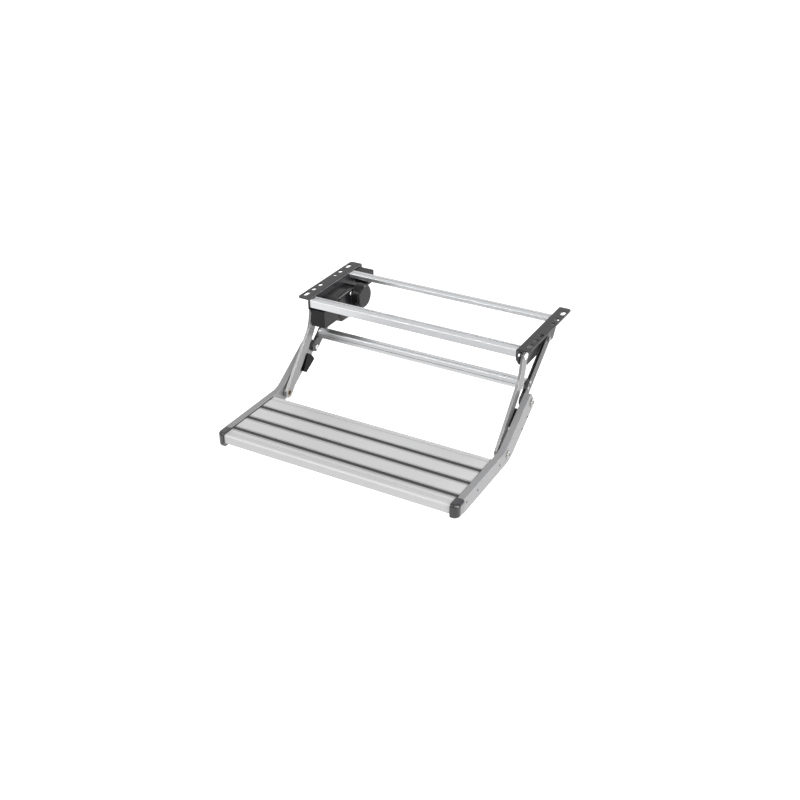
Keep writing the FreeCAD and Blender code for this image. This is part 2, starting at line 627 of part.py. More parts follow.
# Cross tubes
def cross_tube(name, half_length, outline, hollow, ports, port_radius, lines, rounded, edge):
    """A hollow extrusion with screw ports inside and lines along its faces."""
    body = new_body(name)
    section = new_sketch(body, "YZ_Plane", f"-({half_length})")
    draw_outline(section, outline)
    draw_outline(section, hollow)
    length = f"2 * ({half_length})"
    add_pad(body, section, length)
    port_sketch = new_sketch(body, "YZ_Plane", f"-({half_length})")
    for spot in ports:
        draw_circle(port_sketch, spot, port_radius)
    add_pad(body, port_sketch, length)
    round_corners(body, edge, 0, rounded)
    bore_sketch = new_sketch(body, "YZ_Plane", f"-({half_length})")
    for spot in ports:
        draw_circle(bore_sketch, spot, "dim.screw_radius + dim.screw_clearance")
    add_pocket(body, bore_sketch, length, True)
    if lines:
        line_sketch = new_sketch(body, "YZ_Plane", f"-({half_length})")
        for corners in lines:
            draw_outline(line_sketch, corners)
        add_pocket(body, line_sketch, length, True)
    return body


def front_cross_tube():
    front = "dim.front_tube_y"
    top = "dim.front_tube_z"
    rear = f"{front} + dim.front_tube_deep"
    bottom = f"{top} - dim.front_tube_high"
    groove = [(f"{front} + dim.channel_start", top), (f"{front} + dim.channel_start", f"{top} - dim.channel_depth"),
              (f"{front} + dim.channel_end", f"{top} - dim.channel_depth"), (f"{front} + dim.channel_end", top)]
    outline = [(front, bottom), (front, top), *groove, (rear, top), (rear, bottom)]
    hollow = rectangle((f"{front} + dim.tube_wall", f"{bottom} + dim.tube_wall"),
                       (f"{rear} - dim.tube_wall", f"{top} - dim.channel_depth - dim.tube_wall"))
    ports = tube_screw_spots()[0]
    cross_tube("front_cross_tube", "dim.web_face", outline, hollow, ports, "dim.port_radius", [],
               [(front, bottom), (front, top)], "dim.tube_edge")


def rear_cross_tube():
    front = "dim.rear_tube_y"
    top = "dim.rear_tube_z"
    rear = f"{front} + dim.rear_tube_deep"
    bottom = f"{top} - dim.rear_tube_high"
    outline = rectangle((front, bottom), (rear, top))
    hollow = rectangle((f"{front} + dim.tube_wall", f"{bottom} + dim.tube_wall"),
                       (f"{rear} - dim.tube_wall", f"{top} - dim.tube_wall"))
    middle = f"{front} + dim.rear_tube_deep / 2"
    line = rectangle((f"{middle} - dim.line_width / 2", f"{top} - dim.line_depth"),
                     (f"{middle} + dim.line_width / 2", f"{top} + dim.line_depth"))
    ports = tube_screw_spots()[1]
    cross_tube("rear_cross_tube", "dim.web_face", outline, hollow, ports, "dim.port_radius_low", [line],
               [(front, bottom), (front, top), (rear, top)], "dim.tube_edge")


def low_tube_spots():
    return steps_from(("dim.low_tube_y", "dim.low_tube_z"), LOW_TUBE_SCREWS)


def lower_cross_tube():
    centre = ("dim.low_tube_y", "dim.low_tube_z")
    half = "dim.low_tube_half"
    inside = f"({half} - dim.low_tube_wall)"
    outline = rectangle((f"{centre[0]} - {half}", f"{centre[1]} - {half}"),
                        (f"{centre[0]} + {half}", f"{centre[1]} + {half}"))
    hollow = rectangle((f"{centre[0]} - {inside}", f"{centre[1]} - {inside}"),
                       (f"{centre[0]} + {inside}", f"{centre[1]} + {inside}"))
    front = f"{centre[0]} - {half}"
    top = f"{centre[1]} + {half}"
    lines = [rectangle((f"{front} - dim.line_depth", f"{centre[1]} - dim.line_width / 2"),
                       (f"{front} + dim.line_depth", f"{centre[1]} + dim.line_width / 2")),
             rectangle((f"{front} + dim.line_inset - dim.line_width / 2", f"{top} - dim.line_depth"),
                       (f"{front} + dim.line_inset + dim.line_width / 2", f"{top} + dim.line_depth"))]
    cross_tube("lower_cross_tube", REAR_ARM_IN, outline, hollow, low_tube_spots(), "dim.port_radius_low",
               lines, outline, "dim.low_tube_edge")


front_cross_tube()
rear_cross_tube()
lower_cross_tube()


def tube_screws(name, spots, face):
    bodies = []
    for side_name, side in SIDES.items():
        for index, spot in enumerate(spots, start=1):
            bodies.append(screw(f"{name}_{side_name}_{index}", side, f"{side} * ({face})", spot, "dim.screw_head",
                                "dim.screw_rise", "dim.screw_radius", "dim.screw_length"))
    group(name, bodies)


front_spots, rear_spots = tube_screw_spots()
tube_screws("front_tube_screws", front_spots, WEB_BACK)
tube_screws("rear_tube_screws", rear_spots, WEB_BACK)
tube_screws("lower_tube_screws", low_tube_spots(), REAR_ARM_OUT)


# Front arms: flat bars with one bend, a pivot hole at the top and a bush in the foot
def front_arm(name, side):
    body = new_body(f"{name}_front_arm")
    half = "dim.front_arm_half"
    upper = heading(FRONT_PIVOT, BEND)
    lower = heading(BEND, FOOT_PIVOT)
    rear_corner = mitre(FRONT_PIVOT, BEND, FOOT_PIVOT, half)
    front_corner = mitre(FRONT_PIVOT, BEND, FOOT_PIVOT, f"-{half}")
    outline = [beside(FRONT_PIVOT, upper, half), rear_corner, beside(FOOT_PIVOT, lower, half),
               beside(FOOT_PIVOT, lower, f"-{half}"), front_corner, beside(FRONT_PIVOT, upper, f"-{half}")]
    thickness = "dim.front_arm_thick"
    add_plate(body, side, outline, FRONT_ARM_IN, thickness)
    round_corners(body, "dim.bend_outside", 0, [rear_corner])
    round_corners(body, "dim.bend_inside", 0, [front_corner])
    add_disc(body, side, FRONT_PIVOT, half, FRONT_ARM_IN, thickness)
    add_disc(body, side, FOOT_PIVOT, half, FRONT_ARM_IN, thickness)
    cut_holes(body, side, [(FRONT_PIVOT, PIN_HOLE), (FOOT_PIVOT, "dim.bush_radius")], FRONT_ARM_IN, thickness)


def foot_bush(name, side):
    thickness = "dim.front_arm_thick"
    keep(ring(f"{name}_foot_bush", side, f"{side} * {FRONT_ARM_IN}", FOOT_PIVOT, "dim.bush_radius", PIN_HOLE,
              thickness))


for name, side in SIDES.items():
    front_arm(name, side)
    foot_bush(name, side)


# Rear arms: channels open at the front, drawn level from the rear pivot and then turned down to the tray's pivot
def rear_arm(name, side):
    body = new_body(f"{name}_rear_arm")
    half = "dim.rear_arm_half"
    slope = heading(TRAY_PIVOT, REAR_PIVOT)
    rise = f"({REAR_PIVOT[1]} - ({TRAY_PIVOT[1]}))"
    run = f"({REAR_PIVOT[0]} - ({TRAY_PIVOT[0]}))"
    length = f"sqrt({rise} ^ 2 + {run} ^ 2)"
    far = (f"-{length}", "0")
    near = ("0", "0")
    thickness = "dim.rear_arm_thick"
    add_plate(body, side, rectangle((f"-{length}", f"-{half}"), ("0", half)), REAR_ARM_IN, thickness)
    add_disc(body, side, near, half, REAR_ARM_IN, thickness)
    add_disc(body, side, far, half, REAR_ARM_IN, thickness)
    spots = [(f"({spot[0]} - {REAR_PIVOT[0]}) * cos({slope}) + ({spot[1]} - ({REAR_PIVOT[1]})) * sin({slope})",
              f"({spot[1]} - ({REAR_PIVOT[1]})) * cos({slope}) - ({spot[0]} - {REAR_PIVOT[0]}) * sin({slope})")
             for spot in low_tube_spots()]
    channel = new_sketch(body, "YZ_Plane", f"{side} * ({REAR_ARM_IN} + dim.arm_wall)")
    floor = f"dim.arm_wall - {half}"
    over = f"2 * {half}"
    draw_outline(channel, rectangle((f"dim.arm_boss - {length}", floor), ("-dim.tube_seat_end", over)))
    draw_outline(channel, rectangle(("-dim.tube_seat_front", floor), ("-dim.arm_boss", over)))
    add_pocket(body, channel, "dim.rear_arm_thick - 2 * dim.arm_wall", side > 0)
    near_hole = "dim.shaft_radius + dim.running" if side < 0 else PIN_HOLE
    screw_hole = "dim.screw_radius + dim.screw_clearance"
    cut_holes(body, side, [(near, near_hole), (far, PIN_HOLE), (spots[0], screw_hole), (spots[1], screw_hole)],
              REAR_ARM_IN, thickness)
    body.Placement = FreeCAD.Placement(FreeCAD.Vector(), FreeCAD.Rotation(FreeCAD.Vector(1, 0, 0), 1))
    body.setExpression("Placement.Base.y", REAR_PIVOT[0])
    body.setExpression("Placement.Base.z", REAR_PIVOT[1])
    body.setExpression("Placement.Rotation.Angle", slope)
    doc.recompute()


for name, side in SIDES.items():
    rear_arm(name, side)


# Tread: an extrusion with chambers, grooves for the grip strips and serrations beside them
def strip_centre(index):
    return f"(dim.strip_rear - {index} * dim.strip_pitch)"


def tread():
    body = new_body("tread")
    bottom = "(dim.tread_top - dim.tread_height)"
    outline = rectangle(("dim.tread_front", bottom), ("dim.tread_rear", "dim.tread_top"))
    section = new_sketch(body, "YZ_Plane", f"-{TREAD_END}")
    draw_outline(section, outline)
    pitch = "((dim.tread_rear - dim.tread_front - dim.tread_wall) / dim.chambers)"
    for index in range(int(number("dim.chambers"))):
        start = f"dim.tread_front + dim.tread_wall + {index} * {pitch}"
        end = f"dim.tread_front + {index + 1} * {pitch}"
        draw_outline(section, rectangle((start, f"{bottom} + dim.tread_wall"),
                                        (end, "dim.tread_top - dim.tread_skin")))
    add_pad(body, section, f"2 * {TREAD_END}")
    round_corners(body, "dim.nose_radius", 0, [("dim.tread_front", "dim.tread_top")])
    round_corners(body, "dim.nose_under", 0, [("dim.tread_front", bottom)])
    grooves = new_sketch(body, "YZ_Plane", f"-{TREAD_END}")

    def groove(centre, width, depth):
        draw_outline(grooves, rectangle((f"{centre} - {width} / 2", f"dim.tread_top - {depth}"),
                                        (f"{centre} + {width} / 2", f"dim.tread_top + {depth}")))

    for index in range(3):
        groove(strip_centre(index), "dim.strip_width", "dim.strip_depth")
        for rib in range(3):
            for way in (-1, 1):
                groove(f"{strip_centre(index)} + {way} * (dim.rib_first + {rib} * dim.rib_pitch)",
                       "dim.rib_width", "dim.rib_depth")
    groove("dim.rear_groove", "dim.rear_groove_width", "dim.rib_depth")
    groove("dim.nose_groove", "dim.rib_width", "dim.rib_depth")
    groove("dim.nose_groove - dim.nose_groove_pitch", "dim.rib_width", "dim.rib_depth")
    add_pocket(body, grooves, f"2 * {TREAD_END}", True)


def grip_strip(name, index):
    body = new_body(f"{name}_grip_strip")
    sketch = new_sketch(body, "YZ_Plane", f"-{TREAD_END}")
    centre = strip_centre(index)
    bottom = "dim.tread_top - dim.strip_depth"
    top = "dim.tread_top + dim.strip_rise"
    draw_outline(sketch, rectangle((f"{centre} - dim.strip_width / 2", bottom),
                                   (f"{centre} + dim.strip_width / 2", top)))
    add_pad(body, sketch, f"2 * {TREAD_END}")


tread()
for index, name in enumerate(("rear", "middle", "front")):
    grip_strip(name, index)


# Side plates of the tray, with legs up to the rear arms
def side_plate(name, side):
    body = new_body(f"{name}_side_plate")
    leg_top = beside(LEG_END, "dim.leg_angle", "dim.leg_half")
    leg_low = beside(LEG_END, "dim.leg_angle", "-dim.leg_half")
    outline = [("dim.side_front", "dim.side_top"), ("dim.bend_top_y", "dim.side_top"), leg_top, leg_low,
               ("dim.bend_low_y", "dim.side_bottom"), ("dim.side_front", "dim.side_bottom")]
    thickness = "dim.side_thick"
    add_plate(body, side, outline, SIDE_IN, thickness)
    round_corners(body, "dim.bend_top_radius", 0, [outline[1]])
    round_corners(body, "dim.bend_low_radius", 0, [outline[4]])
    round_corners(body, "dim.leg_corner", 0, [leg_top, leg_low])
    cut_holes(body, side, [(TRAY_PIVOT, PIN_HOLE), (FOOT_PIVOT, PIN_HOLE)], SIDE_IN, thickness)
    cut_holes(body, side, [(spot, "dim.rivet_shank") for spot in RIVETS], f"{SIDE_OUT} - dim.rivet_depth",
              "dim.rivet_depth")


def gasket(name, side):
    """The thin black gasket between the tread's end and the side plate."""
    body = new_body(f"{name}_tread_gasket")
    low = ("dim.side_front + dim.gasket_margin", "dim.tread_top - dim.tread_height + dim.gasket_margin")
    high = ("dim.tread_rear - dim.gasket_margin", "dim.tread_top - dim.gasket_margin")
    add_plate(body, side, rectangle(low, high), TREAD_END, "dim.gasket_thick")


def end_cap(name, side):
    body = new_body(f"{name}_end_cap")
    corners = rectangle(("dim.cap_front", "dim.cap_bottom"), ("dim.side_front", "dim.cap_top"))
    add_plate(body, side, corners, TREAD_END, "dim.cap_width")
    outer = number(f"{side} * {CAP_OUT}")
    inner = number(f"{side} * {TREAD_END}")
    front = number("dim.cap_front")
    rear = number("dim.side_front")
    upright = [f"Edge{index}" for index, edge in enumerate(body.Shape.Edges, start=1)
               if all(abs(vertex.X - outer) < TOUCH and abs(vertex.Y - front) < TOUCH for vertex in edge.Vertexes)]
    round_edges(body, "dim.cap_corner", upright)
    rims = []
    for index, edge in enumerate(body.Shape.Edges, start=1):
        level = abs(edge.Vertexes[0].Z - edge.Vertexes[-1].Z) < TOUCH
        at_rear = all(abs(vertex.Y - rear) < TOUCH for vertex in edge.Vertexes)
        at_tread = all(abs(vertex.X - inner) < TOUCH for vertex in edge.Vertexes)
        if level and not at_rear and not at_tread:
            rims.append(f"Edge{index}")
    round_edges(body, "dim.cap_round", rims)
    hole = new_sketch(body, "XY_Plane", "dim.cap_bottom + dim.small_length")
    draw_circle(hole, (f"{side} * {CAP_SCREW}", "dim.cap_screw_y"), "dim.small_shank")
    add_pocket(body, hole, "dim.small_length")


def end_cap_screw(name, side):
    """A cap screw along Z: its head lies under the cap."""
    body = doc.addObject("PartDesign::Body", f"end_cap_screw_{name}")
    centre = (f"{side} * {CAP_SCREW}", "dim.cap_screw_y")
    head = new_sketch(body, "XY_Plane", "dim.cap_bottom")
    draw_circle(head, centre, "dim.small_head")
    add_pad(body, head, "dim.small_rise", True)
    shank = new_sketch(body, "XY_Plane", "dim.cap_bottom")
    draw_circle(shank, centre, "dim.small_shank")
    add_pad(body, shank, "dim.small_length")
    return body


def stop_block(name, side):
    body = new_body(f"{name}_stop_block")
    add_plate(body, side, BLOCK_OUTLINE, f"{SIDE_IN} - dim.block_depth", "dim.block_depth")
    round_corners(body, "dim.block_round", 0, BLOCK_OUTLINE[:3] + BLOCK_OUTLINE[-1:])


for name, side in SIDES.items():
    side_plate(name, side)
    gasket(name, side)
    end_cap(name, side)
    stop_block(name, side)
group("end_cap_screws", [end_cap_screw(name, side) for name, side in SIDES.items()])

rivets = []
for name, side in SIDES.items():
    for index, spot in enumerate(RIVETS, start=1):
        rivets.append(screw(f"side_rivet_{name}_{index}", side, f"{side} * {SIDE_OUT}", spot, "dim.rivet_radius",
                            "dim.rivet_rise", "dim.rivet_shank", "dim.rivet_depth"))
group("side_rivets", rivets)


# Pivots on the tray: bolts through the legs and the rear arms, and short ones for the front arms' feet
def tray_bolts(name, centre, reach, thread):
    bodies = []
    for side_name, side in SIDES.items():
        bodies.append(shoulder_bolt(f"{name}_{side_name}", side, f"{side} * {SIDE_OUT}", centre, reach, thread))
    group(name, bodies)


def rings(name, centre, face, outer, bore, height):
    bodies = [ring(f"{name}_{side_name}", side, f"{side} * ({face})", centre, outer, bore, height)
              for side_name, side in SIDES.items()]
    group(name, bodies)


NUT_FACE = f"{REAR_ARM_IN} - dim.side_gap"
FOOT_FACE = f"{FRONT_ARM_OUT} + dim.side_gap"
tray_bolts("rear_link_bolts", TRAY_PIVOT, f"{SIDE_OUT} - ({NUT_FACE})", True)
tray_bolts("front_link_bolts", FOOT_PIVOT, f"{SIDE_OUT} - ({FOOT_FACE})", False)
rings("rear_link_spacers", TRAY_PIVOT, REAR_ARM_OUT, "dim.washer_radius", PIN_HOLE,
      "dim.link_spacer")
rings("front_link_spacers", FOOT_PIVOT, FOOT_FACE, "dim.washer_radius", PIN_HOLE, f"{SIDE_IN} - ({FOOT_FACE})")
nuts = [hexagon_nut(f"rear_link_nut_{name}", -side, f"{side} * ({NUT_FACE})", TRAY_PIVOT, THREAD_HOLE)
        for name, side in SIDES.items()]
group("rear_link_nuts", nuts)

# Pivots on the webs: headed pins for the front arms, a bolt for the right rear arm, the output shaft for the left
pins = []
for name, side in SIDES.items():
    pins.append(screw(f"front_pivot_pin_{name}", side, f"{side} * ({FOOT_FACE})", FRONT_PIVOT, "dim.pin_head",
                      "dim.pin_rise", "dim.pin_radius", f"{FOOT_FACE} - dim.web_face"))
group("front_pivot_pins", pins)
rings("front_pivot_washers", FRONT_PIVOT, WEB_BACK, "dim.washer_radius", PIN_HOLE, "dim.front_washer")

ARM_NUT_FACE = f"{REAR_ARM_OUT} + dim.side_gap"
keep(shoulder_bolt("rear_pivot_bolt", -1, "dim.web_face", REAR_PIVOT, f"{ARM_NUT_FACE} - dim.web_face", True))
keep(ring("rear_pivot_washer", 1, WEB_BACK, REAR_PIVOT, "dim.washer_radius", PIN_HOLE,
          "dim.rear_washer"))
keep(hexagon_nut("rear_pivot_nut", 1, ARM_NUT_FACE, REAR_PIVOT, THREAD_HOLE))
keep(ring("drive_bearing", -1, f"-({WEB_BACK})", REAR_PIVOT, "dim.bearing_radius", "dim.shaft_radius + dim.running",
          "dim.rear_washer"))
shaft_reach = f"{REAR_ARM_OUT} - {SHAFT_END}"
shaft_tail = "dim.nut_height"
keep(turned("drive_shaft", -1, f"-{REAR_ARM_OUT}", REAR_PIVOT,
            [(f"-({shaft_reach})", "0"), (shaft_tail, "0"), (shaft_tail, "dim.thread_radius"),
             ("0", "dim.thread_radius"),
             ("0", "dim.shaft_radius"), (f"-({shaft_reach})", "dim.shaft_radius")]))
keep(hexagon_nut("drive_shaft_nut", -1, f"-{REAR_ARM_OUT}", REAR_PIVOT, THREAD_HOLE))


# Geared motor on the left bracket
GEAR_TOP = ("dim.gear_rear", "dim.cover_break_z")
GEAR_LOW = ("dim.gear_rear", "dim.cover_bottom")


def gear_half(name, face, outer):
    """One half of the gear housing, between two distances from the middle."""
    body = new_body(name)
    outline = [GEAR_TOP, *GEAR_OUTLINE, GEAR_LOW]
    add_plate(body, -1, outline, face, f"{outer} - {face}")
    round_corners(body, "dim.gear_round", 0, GEAR_OUTLINE)
    return body


def gear_housing():
    base = gear_half("gear_housing_base", GEAR_SPLIT, "dim.web_face")
    cut_holes(base, -1, [(REAR_PIVOT, "dim.shaft_radius + dim.running")], GEAR_SPLIT,
              f"dim.web_face - {GEAR_SPLIT}")
    cut_holes(base, -1, [(spot, "dim.small_shank") for spot in GEAR_MOUNT_SCREWS],
              "dim.web_face - dim.small_length", "dim.small_length")
    lid = gear_half("gear_housing_lid", GEAR_FACE, GEAR_SPLIT)
    inner = number(f"-{GEAR_FACE}")
    rim = [f"Edge{index}" for index, edge in enumerate(lid.Shape.Edges, start=1)
           if all(abs(vertex.X - inner) < TOUCH for vertex in edge.Vertexes)
           and max(vertex.Y for vertex in edge.Vertexes) > number("dim.gear_rear") + TOUCH]
    round_edges(lid, "dim.gear_dome", rim)
    cut_holes(lid, -1, [(REAR_PIVOT, "dim.shaft_radius + dim.running")], SHAFT_END,
              f"{GEAR_SPLIT} - {SHAFT_END}")
    cut_holes(lid, -1, [(spot, "dim.small_shank") for spot in GEAR_SCREWS], GEAR_FACE, "dim.small_length")


def front_cover():
    body = new_body("front_cover")
    outline = [("dim.cover_front", "dim.cover_top"), at("cover_break"), GEAR_TOP, GEAR_LOW,
               ("dim.cover_front", "dim.cover_bottom")]
    add_plate(body, -1, outline, COVER_FACE, f"dim.web_face - {COVER_FACE}")
    round_corners(body, "dim.cover_round", 0, [outline[0], outline[4]])
    cut_holes(body, -1, [(spot, "dim.small_shank") for spot in COVER_SCREWS], COVER_FACE, "dim.small_length")


def inner_screws(name, spots, face):
    """Screws whose heads look towards the middle of the step."""
    bodies = [screw(f"{name}_{index}", 1, f"-({face})", spot, "dim.small_head", "dim.small_rise", "dim.small_shank",
                    "dim.small_length") for index, spot in enumerate(spots, start=1)]
    group(name, bodies)


gear_housing()
front_cover()
inner_screws("gear_screws", GEAR_SCREWS, GEAR_FACE)
inner_screws("front_cover_screws", COVER_SCREWS, COVER_FACE)
mount_screws = [screw(f"gear_mount_screw_{index}", -1, f"-({WEB_BACK})", spot, "dim.small_head",
                      "dim.flat_rise", "dim.small_shank", "dim.small_length")
                for index, spot in enumerate(GEAR_MOUNT_SCREWS, start=1)]
group("gear_mount_screws", mount_screws)

can = "(dim.motor_length - dim.motor_cap)"
keep(turned("motor_can", 1, f"-{GEAR_FACE}", REAR_PIVOT,
            [("0", "0"), (can, "0"), (can, "dim.motor_radius"), ("0", "dim.motor_radius")]))
keep(turned("motor_end_cap", 1, f"-({MOTOR_END} + dim.motor_cap)", REAR_PIVOT,
            [("0", "0"), ("dim.motor_cap", "0"), ("dim.motor_cap", "dim.motor_radius - 2 * dim.motor_step"),
             ("dim.motor_cap - dim.motor_step", "dim.motor_radius - dim.motor_step"),
             ("0", "dim.motor_radius - dim.motor_step")]))


def connector_box():
    front = "(dim.rear_tube_y + dim.rear_tube_deep)"
    body = new_body("connector_box")
    outline = rectangle((front, "dim.box_bottom"), ("dim.box_rear", "dim.box_top"))
    add_plate(body, -1, outline, BOX_IN, "dim.box_width")
    round_corners(body, "dim.box_round", 0, [outline[0]])
    lid = new_body("connector_lid")
    rear = rectangle(("dim.box_rear", "dim.box_bottom"), ("dim.box_rear + dim.box_lid", "dim.box_top"))
    add_plate(lid, -1, rear, BOX_IN, "dim.box_width")
    round_corners(lid, "dim.box_round", 0, [rear[1], rear[2]])


connector_box()

# Check and write
doc.recompute()
for item in doc.Objects:
    if any(word in item.State for word in ("Invalid", "Error")):
        raise RuntimeError(f"{item.Label} did not recompute")
for part in parts:
    if part.Shape.isNull() or not part.Shape.isValid():
        raise RuntimeError(f"{part.Label} has no valid shape")
os.makedirs("parts", exist_ok=True)
for part in parts:
    part.Shape.exportStep(f"parts/{part.Label}.step")
    box = part.Shape.BoundBox
    print(part.Label, len(part.Shape.Solids), round(part.Shape.Volume), box)
print(len(parts), "nodes")
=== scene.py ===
import math

import bpy
from mathutils import Matrix, Vector


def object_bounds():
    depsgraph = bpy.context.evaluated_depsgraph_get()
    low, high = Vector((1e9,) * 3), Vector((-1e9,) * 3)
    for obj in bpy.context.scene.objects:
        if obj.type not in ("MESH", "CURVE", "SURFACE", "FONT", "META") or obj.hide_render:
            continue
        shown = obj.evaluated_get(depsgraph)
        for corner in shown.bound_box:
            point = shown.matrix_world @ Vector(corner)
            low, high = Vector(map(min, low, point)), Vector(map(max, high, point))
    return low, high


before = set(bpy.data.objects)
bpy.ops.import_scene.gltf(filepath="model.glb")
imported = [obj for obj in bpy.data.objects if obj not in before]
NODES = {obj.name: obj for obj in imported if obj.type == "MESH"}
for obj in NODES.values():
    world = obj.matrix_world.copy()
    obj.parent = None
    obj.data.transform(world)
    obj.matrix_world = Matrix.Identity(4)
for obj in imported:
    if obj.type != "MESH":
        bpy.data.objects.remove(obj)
cad_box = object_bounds()

bl_info = {
    "name": "Folding Entry Step",
    "version": (1, 0, 0),
    "blender": (4, 5, 0),
    "location": "View3D > Sidebar > Entry Step",
    "description": "Finishes the folding entry step and sets its studio",
    "category": "Object",
}


WHITE = (1.0, 1.0, 1.0, 1.0)
WHITE_STRENGTH = 1.0        # strength at which the world renders pure white
QUARTER_TURN = math.radians(90)
SAMPLES = 6                 # rays for each bevel or occlusion lookup
RELIEF = 0.0001             # height in metres of the relief in a coat or moulding
PLATING_RELIEF = 0.00005
COAT_ROUGHNESS = 0.10


def colour(name, description, value):
    return bpy.props.FloatVectorProperty(name=name, description=description, subtype="COLOR", size=3, min=0.0,
                                         max=1.0, default=value)


def length(name, description, value):
    return bpy.props.FloatProperty(name=name, description=description, unit="LENGTH", min=0.0, default=value)


def share(name, description, value):
    return bpy.props.FloatProperty(name=name, description=description, subtype="FACTOR", min=0.0, max=1.0,
                                   default=value)


class StepColours(bpy.types.PropertyGroup):
    """Colours of the step's finishes"""

    bracket: colour("Bracket paint", "Powder coat of the two brackets", (0.026, 0.026, 0.028))
    arm: colour("Rear arm paint", "Powder coat of the driven rear arms", (0.036, 0.036, 0.038))
    housing: colour("Gear housing paint", "Paint of the gear housing and the motor", (0.008, 0.008, 0.009))
    moulding: colour("Black mouldings", "Front cover and connector box", (0.012, 0.012, 0.013))
    cap: colour("End caps", "Glossy mouldings at the tread's front corners", (0.006, 0.006, 0.008))
    rubber: colour("Rubber", "Gaskets and stop blocks", (0.004, 0.004, 0.004))
    grip: colour("Grip strips", "Rubber of the tread's three grip strips", (0.040, 0.040, 0.040))
    tread: colour("Tread aluminium", "Matt anodised surface of the tread", (0.54, 0.54, 0.54))
    tube: colour("Tube aluminium", "Bright anodised surface of the cross tubes", (0.58, 0.585, 0.595))
    side_plate: colour("Side plates", "Silver coating of the tray's side plates", (0.24, 0.24, 0.245))
    front_arm: colour("Front arms", "Silver coating of the front arms", (0.22, 0.22, 0.218))
    zinc: colour("Zinc plating", "Bolts, nuts, washers and pins", (0.32, 0.315, 0.305))
    # Painted highlight: a lighter copy of the zinc for the screws, nuts and pins that show glints.
    painted_glint_zinc: colour("Painted glint zinc", "Screws and nuts with fresh bright plating", (0.80, 0.80, 0.79))
    black_oxide: colour("Black oxide", "Small housing screws and rivets", (0.05, 0.05, 0.052))
    bronze: colour("Sintered bronze", "Bushes and the drive bearing", (0.22, 0.175, 0.125))
    # Bare metal on the painted parts, and painted shade as dark lines along the tube edges.
    bare_metal_and_edge_shade: colour("Worn edge and edge shade", "Metal that shows where paint is rubbed thin", (0.20, 0.20, 0.20))
    # Painted highlight: the light band along the edges of the silver coated parts.
    painted_edge_highlight: colour("Painted edge highlight", "Silver coating where it is rubbed bright", (0.62, 0.62, 0.62))
    # Painted shade: the corner shade mask lays this colour in grooves, corners and round fixed parts.
    painted_corner_shade: colour("Painted corner shade", "Dust that settles in grooves and corners", (0.060, 0.058, 0.054))


class FinishSizes(bpy.types.PropertyGroup):
    """Scale of the patterns in the finishes"""

    edge_radius: length("Edge radius", "How round the small edges of painted parts look", 0.0006)
    # Width of the painted edge highlight on the silver coated parts.
    edge_highlight_width: length("Silver edge highlight width", "How far in from an edge the silver coating is rubbed bright", 0.0016)
    # Also sets the width of the painted shade along the tube edges.
    wear_and_edge_shade_width: length("Wear and edge shade width", "How far in from an edge a coat is rubbed", 0.0009)
    powder_grain: length("Powder grain", "Size of the orange peel in the powder coat", 0.0011)
    line_pitch: length("Draw line pitch", "Distance between the draw lines of an extrusion", 0.0007)
    mottle_size: length("Mottle size", "Size of the soft cloudiness in a coat", 0.035)


class StudioSizes(bpy.types.PropertyGroup):
    """The studio round the step, and its camera"""

    camera_place: bpy.props.FloatVectorProperty(
        name="Camera place", description="Where the camera stands in the step's own frame", subtype="XYZ",
        unit="LENGTH", size=3, default=(1.05442, -2.10364, 1.07239))
    camera_turn: bpy.props.FloatProperty(
        name="Camera turn", description="How far the camera turns left of straight ahead", subtype="ANGLE",
        default=math.radians(28.8144))
    camera_tilt: bpy.props.FloatProperty(
        name="Camera tilt", description="How far the camera looks down", subtype="ANGLE",
        default=math.radians(29.7521))
    focal_length: bpy.props.FloatProperty(
        name="Focal length", description="Camera lens in millimetres on a 36 mm sensor", default=50.0, min=10.0)
    floor_drop: length("Floor drop", "Gap between the step and the floor it hangs above", 0.90)
    floor_size: length("Floor size", "Side of the floor", 60.0)
    floor_white: share("Floor white", "Paleness of the floor where it is seen or mirrored", 1.0)
    floor_glow: share("Floor glow", "White added to the floor where it is seen or mirrored", 0.50)
    floor_bounce: share("Floor bounce", "Paleness of the floor where it lights the step from below", 0.44)
    sky: share("Sky", "Strength of the even light from all sides, where it isn't seen or mirrored", 0.46)
    sun_strength: bpy.props.FloatProperty(
        name="Sun strength", description="Strength of the distant light in front", min=0.0, default=1.95)
    sun_height: bpy.props.FloatProperty(
        name="Sun height", description="How high the distant light stands", subtype="ANGLE",
        default=math.radians(40))
    sun_turn: bpy.props.FloatProperty(
        name="Sun turn", description="How far the distant light stands to the right of straight ahead",
        subtype="ANGLE", default=math.radians(50))
    sun_spread: bpy.props.FloatProperty(
        name="Sun spread", description="Width of the distant light as the step sees it", subtype="ANGLE",
        default=math.radians(60))
    key_place: bpy.props.FloatVectorProperty(
        name="Key place", description="Where the large soft box stands on the right", subtype="XYZ",
        unit="LENGTH", size=3, default=(1.55, -0.75, 0.10))
    key_size: length("Key size", "Side of the large soft box", 0.80)
    key_power: bpy.props.FloatProperty(
        name="Key power", description="Power of the large soft box in watts", min=0.0, default=14.0)
    rim_place: bpy.props.FloatVectorProperty(
        name="Rim place", description="Where the soft box stands behind that lines the bends", subtype="XYZ",
        unit="LENGTH", size=3, default=(0.70, 1.50, 0.80))
    rim_size: length("Rim size", "Side of the soft box behind", 0.60)
    rim_power: bpy.props.FloatProperty(
        name="Rim power", description="Power of the soft box behind in watts", min=0.0, default=16.0)
    strip_place: bpy.props.FloatVectorProperty(
        name="Strip place", description="Where the strip light stands that lines the rounded front edges",
        subtype="XYZ", unit="LENGTH", size=3, default=(-0.80, -1.46, 1.06))
    strip_size: length("Strip size", "Length of the strip light", 1.20)
    strip_height: length("Strip height", "Height of the strip light", 0.14)
    strip_power: bpy.props.FloatProperty(
        name="Strip power", description="Power of the strip light in watts", min=0.0, default=8.0)


